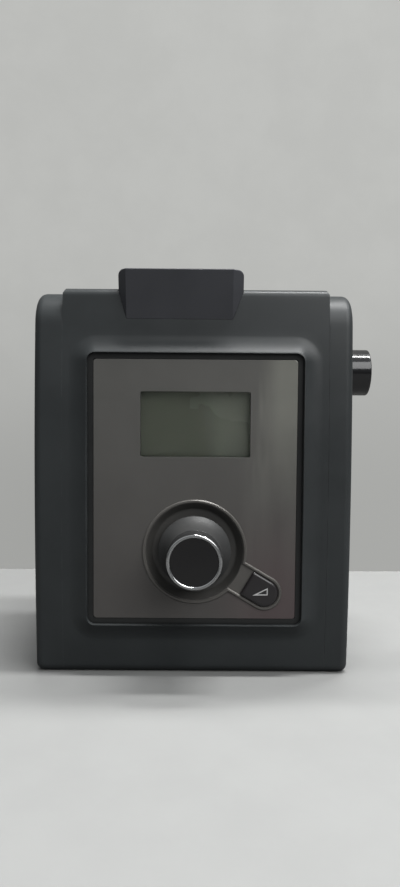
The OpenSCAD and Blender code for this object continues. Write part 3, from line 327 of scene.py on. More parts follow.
materials = {name: makeFinish(name, look) for name, look in finishes.items()}


# the panel's warm silver, darker towards the bottom as painted shade, with painted glare streaks
# and a painted glare patch towards the upper right, a warmer tint towards the lower right, and
# dust; the fades are places in metres
panelLook = {"colour": (0.185, 0.182, 0.170), "low": (0.135, 0.128, 0.122), "paintedShadeZ": (0.135, 0.035),
             "glareStreak": (0.215, 0.212, 0.195), "glareStreaked": 0.5, "glareStreakX": (0.004, 0.034),
             "stretch": (75.0, 1.0, 9.0), "glareStreakFade": (0.42, 0.70),
             "warm": (0.15, 0.112, 0.115), "warmed": 0.75, "warmZ": (0.085, 0.030),
             "glare": (0.34, 0.34, 0.30), "glared": 0.8, "glareX": (0.027, 0.037),
             "glareZ": (0.070, 0.120), "bend": 0.010, "dust": (0.34, 0.33, 0.31), "dusted": 0.25,
             "metal": 0.35, "rough": (0.34, 0.46), "grain": 5200.0, "bump": (0.12, 0.00002)}


def makePanelFinish(look):
    material, tree, shader = blankMaterial("panel")
    grain = useGroup(tree, grainNodes, Scale=look["grain"])
    place = objectPlace(tree)
    axes = splitAxes(tree, place)
    mapped = tree.nodes.new("ShaderNodeMapping")
    link(tree, place, mapped.inputs["Vector"])
    mapped.inputs["Scale"].default_value = look["stretch"]
    # lighter streaks towards the right side of the panel: a painted reflection
    glareStreak = ramp(tree, noise(tree, mapped.outputs["Vector"], 1.0, 3.0, 0.5), *look["glareStreakFade"])
    right = ramp(tree, axes["X"], *look["glareStreakX"])
    bent = calc(tree, "ADD", axes["X"], product(tree, glareStreak, look["bend"]))
    # the first mask darkens the lower part of the panel: painted shade
    masks = {"low": ramp(tree, axes["Z"], *look["paintedShadeZ"]),
             "glareStreak": product(tree, right, look["glareStreaked"], glareStreak),
             "warm": product(tree, right, ramp(tree, axes["Z"], *look["warmZ"]), look["warmed"]),
             "glare": product(tree, ramp(tree, bent, *look["glareX"]),
                              ramp(tree, axes["Z"], *look["glareZ"]), look["glared"]),
             "dust": useGroup(tree, dustNodes, Amount=look["dusted"]).outputs["Mask"]}
    colour = look["colour"]
    for key, mask in masks.items():
        colour = mixColour(tree, mask, colour, look[key])
    link(tree, colour, shader.inputs["Base Color"])
    setRough(tree, shader, grain, *look["rough"])
    shader.inputs["Metallic"].default_value = look["metal"]
    addBump(tree, shader, grain, *look["bump"])
    return material


# the unlit liquid crystal, and the clear window before it
lcdLook = {"colour": (0.132, 0.138, 0.112), "edge": (0.118, 0.124, 0.102), "grain": 1500.0,
           "glare": (0.20, 0.205, 0.18), "glared": 0.8, "glareX": (0.004, 0.016), "bend": 0.006,
           "rough": (0.24, 0.28)}
windowLook = {"colour": (0.93, 0.95, 0.92), "ior": 1.2, "rough": (0.07, 0.10), "grain": 500.0}


def makeLcdFinish(look):
    material, tree, shader = blankMaterial("lcd")
    grain = useGroup(tree, grainNodes, Scale=look["grain"])
    colour = mixColour(tree, grain.outputs["Variation"], look["colour"], look["edge"])
    bent = calc(tree, "ADD", splitAxes(tree, objectPlace(tree))["X"],
                product(tree, grain.outputs["Variation"], look["bend"]))
    glare = product(tree, ramp(tree, bent, *look["glareX"]), look["glared"])
    link(tree, mixColour(tree, glare, colour, look["glare"]), shader.inputs["Base Color"])
    setRough(tree, shader, grain, *look["rough"])
    return material


def makeWindowFinish(look):
    material, tree, shader = blankMaterial("window")
    grain = useGroup(tree, grainNodes, Scale=look["grain"])
    shader.inputs["Base Color"].default_value = (*look["colour"], 1.0)
    shader.inputs["Transmission Weight"].default_value = 1.0
    shader.inputs["IOR"].default_value = look["ior"]
    setRough(tree, shader, grain, *look["rough"])
    return material


materials["panel"] = makePanelFinish(panelLook)
materials["lcd"] = makeLcdFinish(lcdLook)
materials["window"] = makeWindowFinish(windowLook)
print("finishes made:", len(materials))


# helpers for the new pieces: shapes are drawn in millimetres and scaled at the end
def meshOf(bm, name):
    mesh = bpy.data.meshes.new(name)
    bm.to_mesh(mesh)
    bm.free()
    return mesh


def makePiece(bm, name, body, slot, hides=(), finish=None, more=(), sharpAt=35):
    bmesh.ops.scale(bm, vec=(mm, mm, mm), verts=bm.verts)
    mesh = meshOf(bm, name)
    for key in (finish or slot, *more):
        mesh.materials.append(materials[key])
    mesh.shade_smooth()
    mesh.set_sharp_from_angle(angle=math.radians(sharpAt))
    piece = addToScene(name, mesh)
    even = piece.modifiers.new("even", "WEIGHTED_NORMAL")
    even.keep_sharp = True
    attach(piece, body)
    if hides:
        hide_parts(*hides)
    print("piece:", name, len(mesh.polygons), "faces")
    return piece


def vertsIn(geom):
    return [g for g in geom if isinstance(g, bmesh.types.BMVert)]


def edgesIn(geom, ends=None):
    edges = [g for g in geom if isinstance(g, bmesh.types.BMEdge)]
    return [e for e in edges if ends is None or all(v in ends for v in e.verts)]


def loopOf(bm, points):
    made = bmesh.ops.create_circle(bm, segments=len(points), radius=1.0)["verts"]
    ordered = [made[0]]
    while len(ordered) < len(made):
        for edge in ordered[-1].link_edges:
            other = edge.other_vert(ordered[-1])
            if other not in ordered[-2:]:
                ordered.append(other)
                break
    for vert, point in zip(ordered, points):
        vert.co = point
    edges = [e for v in ordered for e in v.link_edges]
    return ordered, list(dict.fromkeys(edges))


def growRing(bm, ring, points):
    verts, edges = ring
    place = {v: p for v, p in zip(verts, points)}
    order = {v: i for i, v in enumerate(verts)}
    made = bmesh.ops.extrude_edge_only(bm, edges=edges)["geom"]
    fresh = vertsIn(made)
    slots = [None] * len(verts)
    for vert in fresh:
        for edge in vert.link_edges:
            other = edge.other_vert(vert)
            if other in order:
                slots[order[other]] = vert
                vert.co = place[other]
                break
    return slots, edgesIn(made, set(fresh))


def sweepRings(bm, rings):
    ring = loopOf(bm, rings[0])
    for points in rings[1:]:
        ring = growRing(bm, ring, points)
    return ring


def capRing(bm, ring, holes=()):
    edges = list(ring[1]) + [e for h in holes for e in h[1]]
    bmesh.ops.triangle_fill(bm, use_beauty=True, use_dissolve=False, edges=edges)


def closeUp(bm):
    bmesh.ops.remove_doubles(bm, verts=bm.verts, dist=0.001)
    bmesh.ops.recalc_face_normals(bm, faces=bm.faces)


def arc(cx, cy, r, fromDeg, toDeg, steps):
    turns = [math.radians(fromDeg + (toDeg - fromDeg) * i / steps) for i in range(steps + 1)]
    return [(cx + r * math.cos(t), cy + r * math.sin(t)) for t in turns]


quarters = ((1, 1, 0), (-1, 1, 90), (-1, -1, 180), (1, -1, 270))


def roundRect(w, h, r, steps=6, cx=0.0, cz=0.0):
    points = []
    for sx, sz, start in quarters:
        points += arc(cx + sx * (w / 2 - r), cz + sz * (h / 2 - r), r, start, start + 90, steps)
    return points


def atY(points, y):
    return [Vector((x, y, z)) for x, z in points]


def turnPart(bm, profile, origin, axis, steps):
    # profile: (radius, distance along the axis), spun into a full turn
    across = Vector((0, 0, 1))
    verts = [bm.verts.new(Vector(origin) + across * r + Vector(axis) * d) for r, d in profile]
    edges = [bm.edges.new(pair) for pair in zip(verts, verts[1:])]
    bmesh.ops.spin(bm, geom=verts + edges, cent=origin, axis=axis, angle=2 * math.pi,
                   steps=steps, use_merge=True)
    bmesh.ops.remove_doubles(bm, verts=bm.verts, dist=0.001)


def cutAcross(bm, keep, at, normal, clear=False):
    faces = [f for f in bm.faces if keep(f.calc_center_median())]
    geom = set(faces) | {e for f in faces for e in f.edges} | {v for f in faces for v in f.verts}
    cut = bmesh.ops.bisect_plane(bm, geom=list(geom), dist=0.0001, plane_co=at,
                                 plane_no=normal, clear_outer=clear)["geom_cut"]
    return edgesIn(cut)


def softEdges(bm, edges, width, segments=2):
    bmesh.ops.bevel(bm, geom=edges, offset=width, segments=segments, profile=0.5,
                    affect="EDGES", material=-1)


def sharpEdges(bm, least):
    return [e for e in bm.edges if len(e.link_faces) == 2
            and e.calc_face_angle(0.0) > math.radians(least)]


def addBox(bm, at, size, rounding):
    place = Matrix.Translation(at) @ Matrix.Diagonal((*size, 1.0))
    made = bmesh.ops.create_cube(bm, size=1.0, matrix=place)
    edges = [e for v in made["verts"] for e in v.link_edges]
    softEdges(bm, list(dict.fromkeys(edges)), rounding)


def turnTowards(bm, face, way):
    # the whole shape is reversed where this face looks away from the given side
    if face.normal.dot(Vector(way)) < 0:
        bmesh.ops.reverse_faces(bm, faces=bm.faces)


def faceNearest(bm, at):
    return min(bm.faces, key=lambda f: (f.calc_center_median() - Vector(at)).length)


# the body's outline from the side, the same as the frame's
body = {"height": 169.0, "halfBlock": 57.75, "faceY": -34.0, "faceR": 1000.0, "crownZ": 82.0,
        "lowDepth": 30.0, "highDepth": 68.0, "splitY": 20.0, "wall": 2.5, "lowR": 4.0,
        "highR": 3.5, "wingTop": 168.2}
tilt = math.atan((body["highDepth"] - body["lowDepth"]) / body["height"])


def faceAt(z):
    return (body["faceY"] + body["faceR"]
            - math.sqrt(body["faceR"] ** 2 - (z - body["crownZ"]) ** 2))


def backAt(z):
    return body["lowDepth"] + z * math.tan(tilt)


def corner(a, p, b, r, steps):
    a, p, b = Vector(a), Vector(p), Vector(b)
    u, v = (a - p).normalized(), (b - p).normalized()
    half = u.angle(v) / 2
    centre = p + (u + v).normalized() * (r / math.sin(half))
    start = p + u * (r / math.tan(half)) - centre
    side = start.x * (p - centre).y - start.y * (p - centre).x
    turn = (math.pi - 2 * half) * (1 if side > 0 else -1)
    points = []
    for i in range(steps + 1):
        t = turn * i / steps
        points.append((centre.x + start.x * math.cos(t) - start.y * math.sin(t),
                       centre.y + start.x * math.sin(t) + start.y * math.cos(t)))
    return points


def sideOutline(inset, lowR, highR, rearR, top, arcSteps=10, faceSteps=36):
    low, high = inset, top - inset
    shift = inset / math.cos(tilt)
    lowFront, highFront = (faceAt(low) + inset, low), (faceAt(high) + inset, high)
    highBack, lowBack = (backAt(high) - shift, high), (backAt(low) - shift, low)
    z0, z1 = low + max(lowR, 1) + 1, high - max(highR, 1) - 1
    zs = [z0 + (z1 - z0) * i / faceSteps for i in range(faceSteps + 1)]
    face = [(faceAt(z) + inset, z) for z in zs]
    return (corner(lowBack, lowFront, face[0], lowR, arcSteps) + face
            + corner(face[-1], highFront, highBack, highR, arcSteps)
            + corner(highFront, highBack, lowBack, rearR, arcSteps)
            + corner(highBack, lowBack, lowFront, rearR, arcSteps))


# front shell: the gently convex face with the soft rim round the panel
shellLook = {"rimY": -36.0, "openX": 46.6, "openLow": 22.95, "openHigh": 140.85, "openR": 3.4,
             "slope": 8.0, "power": 1.7, "spread": 6,
             "steps": (0.4, 0.9, 1.6, 2.4, 3.2, 4.1, 5.0, 6.0, 7.0, 8.0), "lipY": -33.8,
             "chamfer": (1.3, 2.3, 45), "tongueSlot": (1.35, 5.35), "plugAt": (-2, 66),
             "plugSlot": (6.1, 12.1), "tubeHole": 11.6}
moduleLook = {"left": -33.7, "right": 20.5, "facets": (3.6, 4.7), "low": 155.8, "shoulder": 168.0,
              "top": 176.4, "proud": 6.0, "slip": -28.12, "back": -10.77, "fit": 0.12,
              "bayLeft": -31.05, "bayRight": 17.85, "bayY": -10.4, "cornerR": 2.3,
              "slotX": -6.6, "slotY": -19.27, "slotW": 24.7, "slotD": 2.8, "slotR": 0.4,
              "slotDeep": 33.5, "edgeR": 0.7, "boxLow": 139, "boxHigh": 31.2, "boxGap": 0.7,
              "boxR": 0.4}
outletLook = {"y": 4.2, "z": 135.2, "r": 11.0, "rootR": 11.5, "bore": 9.2, "start": 42.0,
              "end": 82.75, "rootEnd": 68.6, "collarR": 13.6, "collar": (54.0, 55.5)}
tongues = [(-16.0, 141.0), (-16.0, 30.0), (0.0, 22.0), (40.0, 110.0)]


def frameRing(halfX, low, high, r, countX=24, countZ=30, turns=8):
    bends = [arc(sx * (halfX - r), (high - r) if sz > 0 else (low + r), r, start, start + 90, turns)
             for sx, sz, start in quarters]
    points = []
    for i, bend in enumerate(bends):
        a, b = bend[-1], bends[(i + 1) % 4][0]
        count = countX if i % 2 == 0 else countZ
        points += bend + [(a[0] + (b[0] - a[0]) * k / count, a[1] + (b[1] - a[1]) * k / count)
                          for k in range(1, count)]
    return points


def rimDistance(x, z, s):
    middle, half = (s["openLow"] + s["openHigh"]) / 2, (s["openHigh"] - s["openLow"]) / 2
    qx, qz = abs(x) - s["openX"] + s["openR"], abs(z - middle) - half + s["openR"]
    return math.hypot(max(qx, 0), max(qz, 0)) + min(max(qx, qz), 0) - s["openR"]


def slopeAt(d, z, s):
    return faceAt(z) + (s["rimY"] - faceAt(z)) * (1 - d / s["slope"]) ** s["power"]


def growChain(bm, chain, y, z):
    made = bmesh.ops.extrude_edge_only(bm, edges=chain)["geom"]
    fresh = set(vertsIn(made))
    for vert in fresh:
        vert.co.y, vert.co.z = y, z
    return edgesIn(made, fresh)


def shellRings(s):
    def ringAt(d):
        return frameRing(s["openX"] + d, s["openLow"] - d, s["openHigh"] + d, s["openR"] + d)
    rings = [[Vector((x, y, z)) for x, z in ringAt(d)]
             for d, y in ((0.0, s["lipY"]), (0.0, s["rimY"] + 0.55), (0.13, s["rimY"] + 0.24))]
    for d in s["steps"]:
        rings.append([Vector((x, slopeAt(d, z, s), z)) for x, z in ringAt(d)])
    d = s["slope"]
    z0, z1 = body["lowR"] + 1, body["height"] - body["highR"] - 1
    for i in range(1, s["spread"] + 1):
        t = i / s["spread"]
        points = frameRing(s["openX"] + d + (body["halfBlock"] - s["openX"] - d) * t,
                           s["openLow"] - d + (z0 - s["openLow"] + d) * t,
                           s["openHigh"] + d + (z1 - s["openHigh"] - d) * t,
                           (s["openR"] + d) * (1 - t))
        rings.append([Vector((x, faceAt(z), z)) for x, z in points])
    return rings, z0, z1


def notchEdge(z, m, side):
    rise = min(1.0, (z - m["low"]) / (m["shoulder"] - m["low"]))
    if side < 0:
        return m["left"] - m["fit"] + m["facets"][0] * (1 - rise)
    return m["right"] + m["fit"] - m["facets"][1] * (1 - rise)


def slotLoop(bm, x, at, half):
    return loopOf(bm, [Vector((x, at[0] + a * half[0], at[1] + b * half[1]))
                       for a, b in ((-1, -1), (1, -1), (1, 1), (-1, 1))])[1]


def buildFrontShell(s, m):
    bm = bmesh.new()
    rings, lowEdge, highEdge = shellRings(s)
    outer = sweepRings(bm, rings)[1]
    top = body["height"]
    lowPath = corner((body["splitY"], 0), (faceAt(0), 0), (faceAt(lowEdge), lowEdge),
                     body["lowR"], 8)[::-1]
    highPath = corner((faceAt(highEdge), highEdge), (faceAt(top), top), (body["splitY"], top),
                      body["highR"], 8)
    notchY = highPath[-1][0]
    lowPath += [(0.0, 0.0), (body["splitY"], 0.0)]
    highPath += [(m["bayY"], top), (5.0, top), (body["splitY"], top)]
    for start, path in ((lowEdge, lowPath), (highEdge, highPath)):
        chain = [e for e in outer if all(abs(v.co.z - start) < 0.0001 for v in e.verts)]
        for y, z in path:
            chain = growChain(bm, chain, y, z)
    bmesh.ops.remove_doubles(bm, verts=bm.verts, dist=0.001)
    # the notch for the card module, with slanted side walls
    cutAcross(bm, lambda c: 150 < c.z, (0, 0, m["low"] - m["fit"]), (0, 0, 1))
    cutAcross(bm, lambda c: 160 < c.z, (0, 0, m["shoulder"]), (0, 0, 1))
    for side in (-1, 1):
        width = m["facets"][side > 0]
        lean = Vector((m["shoulder"] - m["low"], 0, -side * width)).normalized()
        cutAcross(bm, lambda c: 155 < c.z < m["shoulder"],
                  (notchEdge(m["low"], m, side), 0, m["low"]), lean)
        cutAcross(bm, lambda c: c.z > m["shoulder"], (notchEdge(top, m, side), 0, 0), (1, 0, 0))
    for x in (m["bayLeft"], m["bayRight"]):
        cutAcross(bm, lambda c: c.z > top - 0.01 and c.y < m["bayY"], (x, 0, 0), (1, 0, 0))
    gone = []
    for f in bm.faces:
        c = f.calc_center_median()
        if (c.z > m["low"] - m["fit"] and c.y < notchY + 0.01
                and notchEdge(c.z, m, -1) < c.x < notchEdge(c.z, m, 1)):
            gone.append(f)
        elif c.z > top - 0.01 and m["bayLeft"] < c.x < m["bayRight"] and c.y < m["bayY"]:
            gone.append(f)
    bmesh.ops.delete(bm, geom=gone, context="FACES")
    # side walls, with holes for the covers' tongues, the air outlet and the plug
    for side in (-1, 1):
        x = side * body["halfBlock"]
        rim = [e for e in bm.edges if e.is_boundary
               and all(abs(v.co.x - x) < 0.001 for v in e.verts)]
        ends = sorted((v for e in rim for v in e.verts
                       if sum(1 for k in v.link_edges if k in rim) == 1), key=lambda v: v.co.z)
        rim.append(bm.edges.new((ends[0], ends[-1])))
        for y, z in tongues[:3]:
            if y < body["splitY"]:
                rim += slotLoop(bm, x, (y, z), s["tongueSlot"])
        if side > 0:
            hole = arc(outletLook["y"], outletLook["z"], s["tubeHole"], 0, 352.5, 47)
            rim += loopOf(bm, [Vector((x, y, z)) for y, z in hole])[1]
            rim += slotLoop(bm, x, s["plugAt"], s["plugSlot"])
        bmesh.ops.triangle_fill(bm, use_beauty=True, use_dissolve=False, edges=rim)
    closeUp(bm)
    # a small chamfer along the upper edges, wider towards the face
    wide, high, run = s["chamfer"]
    for side in (-1, 1):
        edges = cutAcross(bm, lambda c: c.z > 120 and c.x * side > 40,
                          (side * (body["halfBlock"] - wide), -30, top),
                          Vector((side * high, -high * wide / run, wide)).normalized(), True)
        bmesh.ops.holes_fill(bm, edges=edges)
    closeUp(bm)
    turnTowards(bm, faceNearest(bm, (0, -33, 12)), (0, -1, 0))
    outside = set(bm.verts)
    bmesh.ops.solidify(bm, geom=list(bm.faces), thickness=body["wall"])
    for v in bm.verts:
        d = rimDistance(v.co.x, v.co.z, s)
        if v not in outside and 0.2 < d < s["slope"]:
            v.co.y = max(v.co.y, slopeAt(d, v.co.z, s) + 1.2)
    makePiece(bm, "frontShell", "chassis", "shell", ["front_shell"])


buildFrontShell(shellLook, moduleLook)


# side covers, with rounder upper front corners than the block between them
coverLook = {"lowR": 4.0, "highR": 15.0, "rearR": 4.0, "roundTo": 3.5, "wall": 2.2, "steps": 8,
             "holeR": 12.2, "tongueIn": 6, "tongue": (2.0, 10.0), "tongueR": 0.3}


def buildCover(name, side, inner, width, bodyName, node, hole, c):
    bm = bmesh.new()
    rings = [(inner, 0.0)]
    for i in range(c["steps"] + 1):
        a = math.radians(90 * (1 - i / c["steps"]))
        rings.append((inner + width - c["roundTo"] * (1 - math.cos(a)),
                      c["roundTo"] * (1 - math.sin(a))))
    outlines = [[Vector((side * x, y, z)) for y, z in
                 sideOutline(inset, max(c["lowR"] - inset, 1), max(c["highR"] - inset, 1),
                             max(c["rearR"] - inset, 0.5), body["wingTop"])] for x, inset in rings]
    last = sweepRings(bm, outlines)
    holes = []
    if hole:
        circle = arc(outletLook["y"], outletLook["z"], c["holeR"], 0, 355, 71)
        holes = [loopOf(bm, [Vector((side * (inner + width), y, z)) for y, z in circle])]
    capRing(bm, last, holes)
    closeUp(bm)
    flat = max(bm.faces, key=lambda f: abs(f.calc_center_median().x))
    turnTowards(bm, flat, (side, 0, 0))
    bmesh.ops.solidify(bm, geom=list(bm.faces), thickness=c["wall"])
    for y, z in tongues:
        length = width - c["wall"] + c["tongueIn"]
        addBox(bm, (side * (inner - c["tongueIn"] + length / 2), y, z),
               (length, *c["tongue"]), c["tongueR"])
    makePiece(bm, name, bodyName, "shell", [node])


buildCover("leftCover", -1, 57.75, 12.4, "chassis", "left_side_cover", False, coverLook)
buildCover("rightCover", 1, 57.83, 10.52, "side_cover", "right_side_cover", True, coverLook)


# card module: a wedge that eases out of the face, with a flat along each side
def buildModule(m):
    bm = bmesh.new()
    lip = faceAt(body["height"]) - m["proud"]
    outline = [(faceAt(m["low"]), m["low"]), (lip, m["top"]), (m["back"], m["top"]),
               (m["back"], body["height"] + 0.1), (m["slip"], body["height"] + 0.1),
               (m["slip"], m["low"])]
    face = bmesh.ops.contextual_create(bm, geom=loopOf(bm, [Vector((m["left"], y, z))
                                                            for y, z in outline])[1])["faces"]
    moved = bmesh.ops.extrude_face_region(bm, geom=face)["geom"]
    bmesh.ops.translate(bm, vec=(m["right"] - m["left"], 0, 0), verts=vertsIn(moved))
    bmesh.ops.remove_doubles(bm, verts=bm.verts, dist=0.001)
    rise = m["shoulder"] - m["low"]
    for side, x in ((-1, m["left"]), (1, m["right"])):
        inner = x - side * m["facets"][side > 0]
        lean = Vector((side * rise, 0, -m["facets"][side > 0])).normalized()
        edges = cutAcross(bm, lambda c: True, (inner, 0, m["low"]), lean, True)
        bmesh.ops.holes_fill(bm, edges=edges)
        a = Vector((inner, faceAt(m["low"]), m["low"]))
        b = Vector((inner, lip, m["top"]))
        c = Vector((x, faceAt(m["shoulder"]), m["shoulder"]))
        flat = (b - a).cross(c - a).normalized()
        if flat.x * side < 0:
            flat.negate()
        edges = cutAcross(bm, lambda c: True, a, flat, True)
        bmesh.ops.holes_fill(bm, edges=edges)
    bmesh.ops.recalc_face_normals(bm, faces=bm.faces)
    tops = [e for e in sharpEdges(bm, 40) if all(v.co.z > m["top"] - 0.01 for v in e.verts)
            and abs(e.verts[0].co.y - e.verts[1].co.y) > 5]
    softEdges(bm, tops, m["cornerR"], 6)
    softEdges(bm, [e for e in sharpEdges(bm, 24)
                   if all(v.co.z > m["low"] + 0.5 for v in e.verts)], m["edgeR"], 4)
    ceiling = max((f for f in bm.faces if f.normal.z > 0.99), key=lambda f: f.calc_area())
    edges = list(ceiling.edges)
    bmesh.ops.delete(bm, geom=[ceiling], context="FACES_ONLY")
    slot = [(m["slotX"] + x, m["slotY"] + y)
            for x, y in roundRect(m["slotW"], m["slotD"], m["slotR"], 3)]
    ring = loopOf(bm, [Vector((x, y, m["top"])) for x, y in slot])
    capRing(bm, ([], edges), [ring])
    for deep in (0.3, m["slotDeep"]):
        ring = growRing(bm, ring, [Vector((x, y, m["top"] - deep)) for x, y in slot])
    capRing(bm, ring)
    size = (m["bayRight"] - m["bayLeft"] - m["boxGap"], m["back"] - m["slip"], m["boxHigh"])
    addBox(bm, ((m["bayLeft"] + m["bayRight"]) / 2, (m["back"] + m["slip"]) / 2,
                m["boxLow"] + size[2] / 2), size, m["boxR"])
    closeUp(bm)
    makePiece(bm, "cardModule", "module", "module", ["card_module"])


buildModule(moduleLook)


# bezel with its tray, and the silver control panel that stands a little proud of it
panelShape = {"w": 87.9, "h": 112.6, "midZ": 81.9, "faceY": -34.0, "thick": 1.2, "r": 1.3,
              "bezelW": 3.0, "bezelR": 1.9, "bezelY": -33.6, "bezelBack": -31.4, "bezelWall": 1.2,
              "viewW": 47.5, "viewH": 28.2, "viewZ": 110.3, "viewR": 0.8, "edge": 0.14}
dialLook = {"z": 55.0, "dishR": 22.3, "bowlR": 21.4, "floorR": 18.8, "floorY": -30.0,
            "bead": 0.28, "beadW": 0.5, "armY": -33.4, "angle": -30.5, "armIn": 26.4,
            "armFar": 35.51, "buttonR": 5.9, "margin": 1.15, "buttonY": -35.6, "gap": 0.35,
            "steps": 96}


def keyhole(grow, k=dialLook):
    # round dish joined to the petal button's arm, as one outline about the dial
    half = k["buttonR"] + k["margin"] + grow
    r = k["dishR"] + grow
    meet = math.degrees(math.asin(half / r))
    points = arc(0, 0, r, meet, 360 - meet, 72)
    start = points[-1]
    points += [(start[0] + (k["armFar"] - start[0]) * i / 8, -half) for i in range(1, 8)]
    points += arc(k["armFar"], 0, half, -90, 90, 20)
    points += [(k["armFar"] + (start[0] - k["armFar"]) * i / 8, half) for i in range(1, 8)]
    return turned(points, k)


def petal(grow, k=dialLook, cornerR=0.9):
    half = k["buttonR"] + grow
    inner = k["armIn"] - grow
    points = arc(inner + cornerR, -half + cornerR, cornerR, 180, 270, 4)
    points += arc(k["armFar"], 0, half, -90, 90, 20)
    points += arc(inner + cornerR, half - cornerR, cornerR, 90, 180, 4)
    return turned(points, k)


def turned(points, k):
    a = math.radians(k["angle"])
    return [(x * math.cos(a) - z * math.sin(a), k["z"] + x * math.sin(a) + z * math.cos(a))
            for x, z in points]


def panelHoles(bm, p, y, steps):
    view = roundRect(p["viewW"], p["viewH"], p["viewR"], steps, 0, p["viewZ"])
    return [loopOf(bm, atY(view, y)), loopOf(bm, atY(keyhole(0.1), y))]


def buildBezel(p):
    bm = bmesh.new()
    w, h = p["w"] + 2 * p["bezelW"], p["h"] + 2 * p["bezelW"]
    edge, floorY = p["bezelY"], p["faceY"] + p["thick"]
    steps = [(0.0, p["bezelBack"]), (0.0, edge + 0.3), (0.09, edge + 0.09), (0.3, edge),
             (2.62, edge), (2.82, edge + 0.07), (2.9, edge + 0.25), (2.9, floorY)]
    rings = [atY(roundRect(w - 2 * d, h - 2 * d, max(p["bezelR"] - d, 0.9), 6, 0, p["midZ"]), y)
             for d, y in steps]
    last = sweepRings(bm, rings)
    capRing(bm, last, panelHoles(bm, p, floorY, 4))
    closeUp(bm)
    turnTowards(bm, faceNearest(bm, (0, edge, 23.8)), (0, -1, 0))
    bmesh.ops.solidify(bm, geom=list(bm.faces), thickness=p["bezelWall"])
    makePiece(bm, "panelBezel", "chassis", "bezel", ["panel_bezel"])


def buildPanel(p):
    bm = bmesh.new()
    y = p["faceY"]
    outer = loopOf(bm, atY(roundRect(p["w"], p["h"], p["r"], 5, 0, p["midZ"]), y))
    capRing(bm, outer, panelHoles(bm, p, y, 5))
    bmesh.ops.recalc_face_normals(bm, faces=bm.faces)
    turnTowards(bm, bm.faces[:][0], (0, -1, 0))
    bmesh.ops.solidify(bm, geom=list(bm.faces), thickness=p["thick"])
    rims = [e for e in sharpEdges(bm, 60) if all(v.co.y < y + 0.01 for v in e.verts)]
    softEdges(bm, rims, p["edge"])
    makePiece(bm, "controlPanel", "chassis", "panel", ["control_panel"])


buildBezel(panelShape)
buildPanel(panelShape)


def turnDial(bm, profile, k):
    turnPart(bm, profile, (0, 0, k["z"]), (0, 1, 0), k["steps"])


# dish with its fine raised bead, and the arm that frames the ramp button
def buildDish(k):
    bm = bmesh.new()
    y = panelShape["faceY"]
    top, w = y - k["bead"], k["beadW"]
    bead = [(0.0, y + 0.9), (0.0, top + 0.12), (-0.12, top), (-w + 0.14, top),
            (-w, top + 0.14), (-w, k["armY"] + 0.3)]
    sweepRings(bm, [atY(keyhole(g), at) for g, at in bead])
    half = k["buttonR"] + k["margin"] - w + 0.1
    reach = math.degrees(math.asin(half / k["bowlR"]))
    arm = turned(arc(0, 0, k["bowlR"] - 0.1, reach, -reach, 10)
                 + arc(k["armFar"], 0, half, -90, 90, 20), k)
    plate = loopOf(bm, atY(arm, k["armY"]))
    hole = loopOf(bm, atY(petal(k["gap"]), k["armY"]))
    capRing(bm, plate, [hole])
    growRing(bm, hole, atY(petal(k["gap"]), k["floorY"] + 0.2))
    silver = set(bm.faces)
    bowlR, armY, floorR, floorY = k["bowlR"], k["armY"], k["floorR"], k["floorY"]
    turnDial(bm, [(bowlR + 0.15, armY + 0.02), (bowlR - 0.08, armY + 0.05),
                  (bowlR - 0.22, armY + 0.3), (floorR + 0.5, floorY - 0.75),
                  (floorR + 0.1, floorY - 0.3), (floorR - 0.5, floorY - 0.03),
                  (floorR - 1.2, floorY), (4.2, floorY), (4.1, floorY + 0.2),
                  (4.1, floorY + 1.5)], k)
    for f in bm.faces:
        if f not in silver:
            f.material_index = 1
    bmesh.ops.recalc_face_normals(bm, faces=bm.faces)
    bmesh.ops.solidify(bm, geom=list(bm.faces), thickness=-0.5)
    makePiece(bm, "dialDish", "chassis", "dish", ["dial_dish"], more=("bowl",))


# dial: flared skirt, gloss grip, bright ring and dark cap
wheelLook = {"skirtR": 15.8, "gripR": 11.5, "skirtY": -35.2, "neckY": -45.6, "gripY": -53.9,
             "frontY": -55.5, "ringW": 1.6}


def buildWheel(w, k):
    bm = bmesh.new()
    across, deep = w["skirtR"] - w["gripR"], w["skirtY"] - w["neckY"]
    r = (across ** 2 + deep ** 2) / (2 * across)
    scoop = []
    for i in range(17):
        y = w["skirtY"] - 0.25 - (deep - 0.25) * i / 16
        scoop.append((w["gripR"] + r - math.sqrt(r ** 2 - (y - w["neckY"]) ** 2), y))
    r, y, neckY, gripY = w["skirtR"], w["skirtY"], w["neckY"], w["gripY"]
    profile = [(3.0, y + 0.6), (r - 0.5, y + 0.9), (r - 0.15, y + 0.75), (r, y + 0.4),
               (r - 0.03, y + 0.05)] + scoop
    r = w["gripR"]
    profile += [(r - 0.12, neckY - 0.12), (r - 0.05, neckY - 0.4), (r - 0.05, gripY + 0.3),
                (r - 0.2, gripY + 0.05), (3.0, gripY + 0.05), (3.0, y + 0.6)]
    turnDial(bm, profile, k)
    closeUp(bm)
    for f in bm.faces:
        f.material_index = 1 if f.calc_center_median().y < neckY else 0
    makePiece(bm, "controlWheel", "wheel", "wheel", ["control_wheel"], more=("gloss_black",))
    bm = bmesh.new()
    outer, inner, half = w["gripR"], w["gripR"] - w["ringW"], w["ringW"] / 2
    bend = [(outer - half + half * math.cos(math.radians(t)),
             w["frontY"] + 0.75 - 0.75 * math.sin(math.radians(t))) for t in range(0, 181, 15)]
    turnDial(bm, [(inner, gripY), (outer, gripY)] + bend + [(inner, gripY)], k)
    closeUp(bm)
    makePiece(bm, "wheelRing", "wheel", "chrome", ["wheel_ring"])
    bm = bmesh.new()
    y = w["frontY"] + 0.55
    turnDial(bm, [(0.0, y + 1.3), (inner, y + 1.3), (inner, y + 0.15), (inner - 0.2, y),
                  (inner - 0.9, y + 0.02), (inner - 3, y + 0.12), (inner - 6, y + 0.2),
                  (0.0, y + 0.24)], k)
    closeUp(bm)
    makePiece(bm, "wheelCap", "wheel", slotOf["wheel_cap"], ["wheel_cap"])


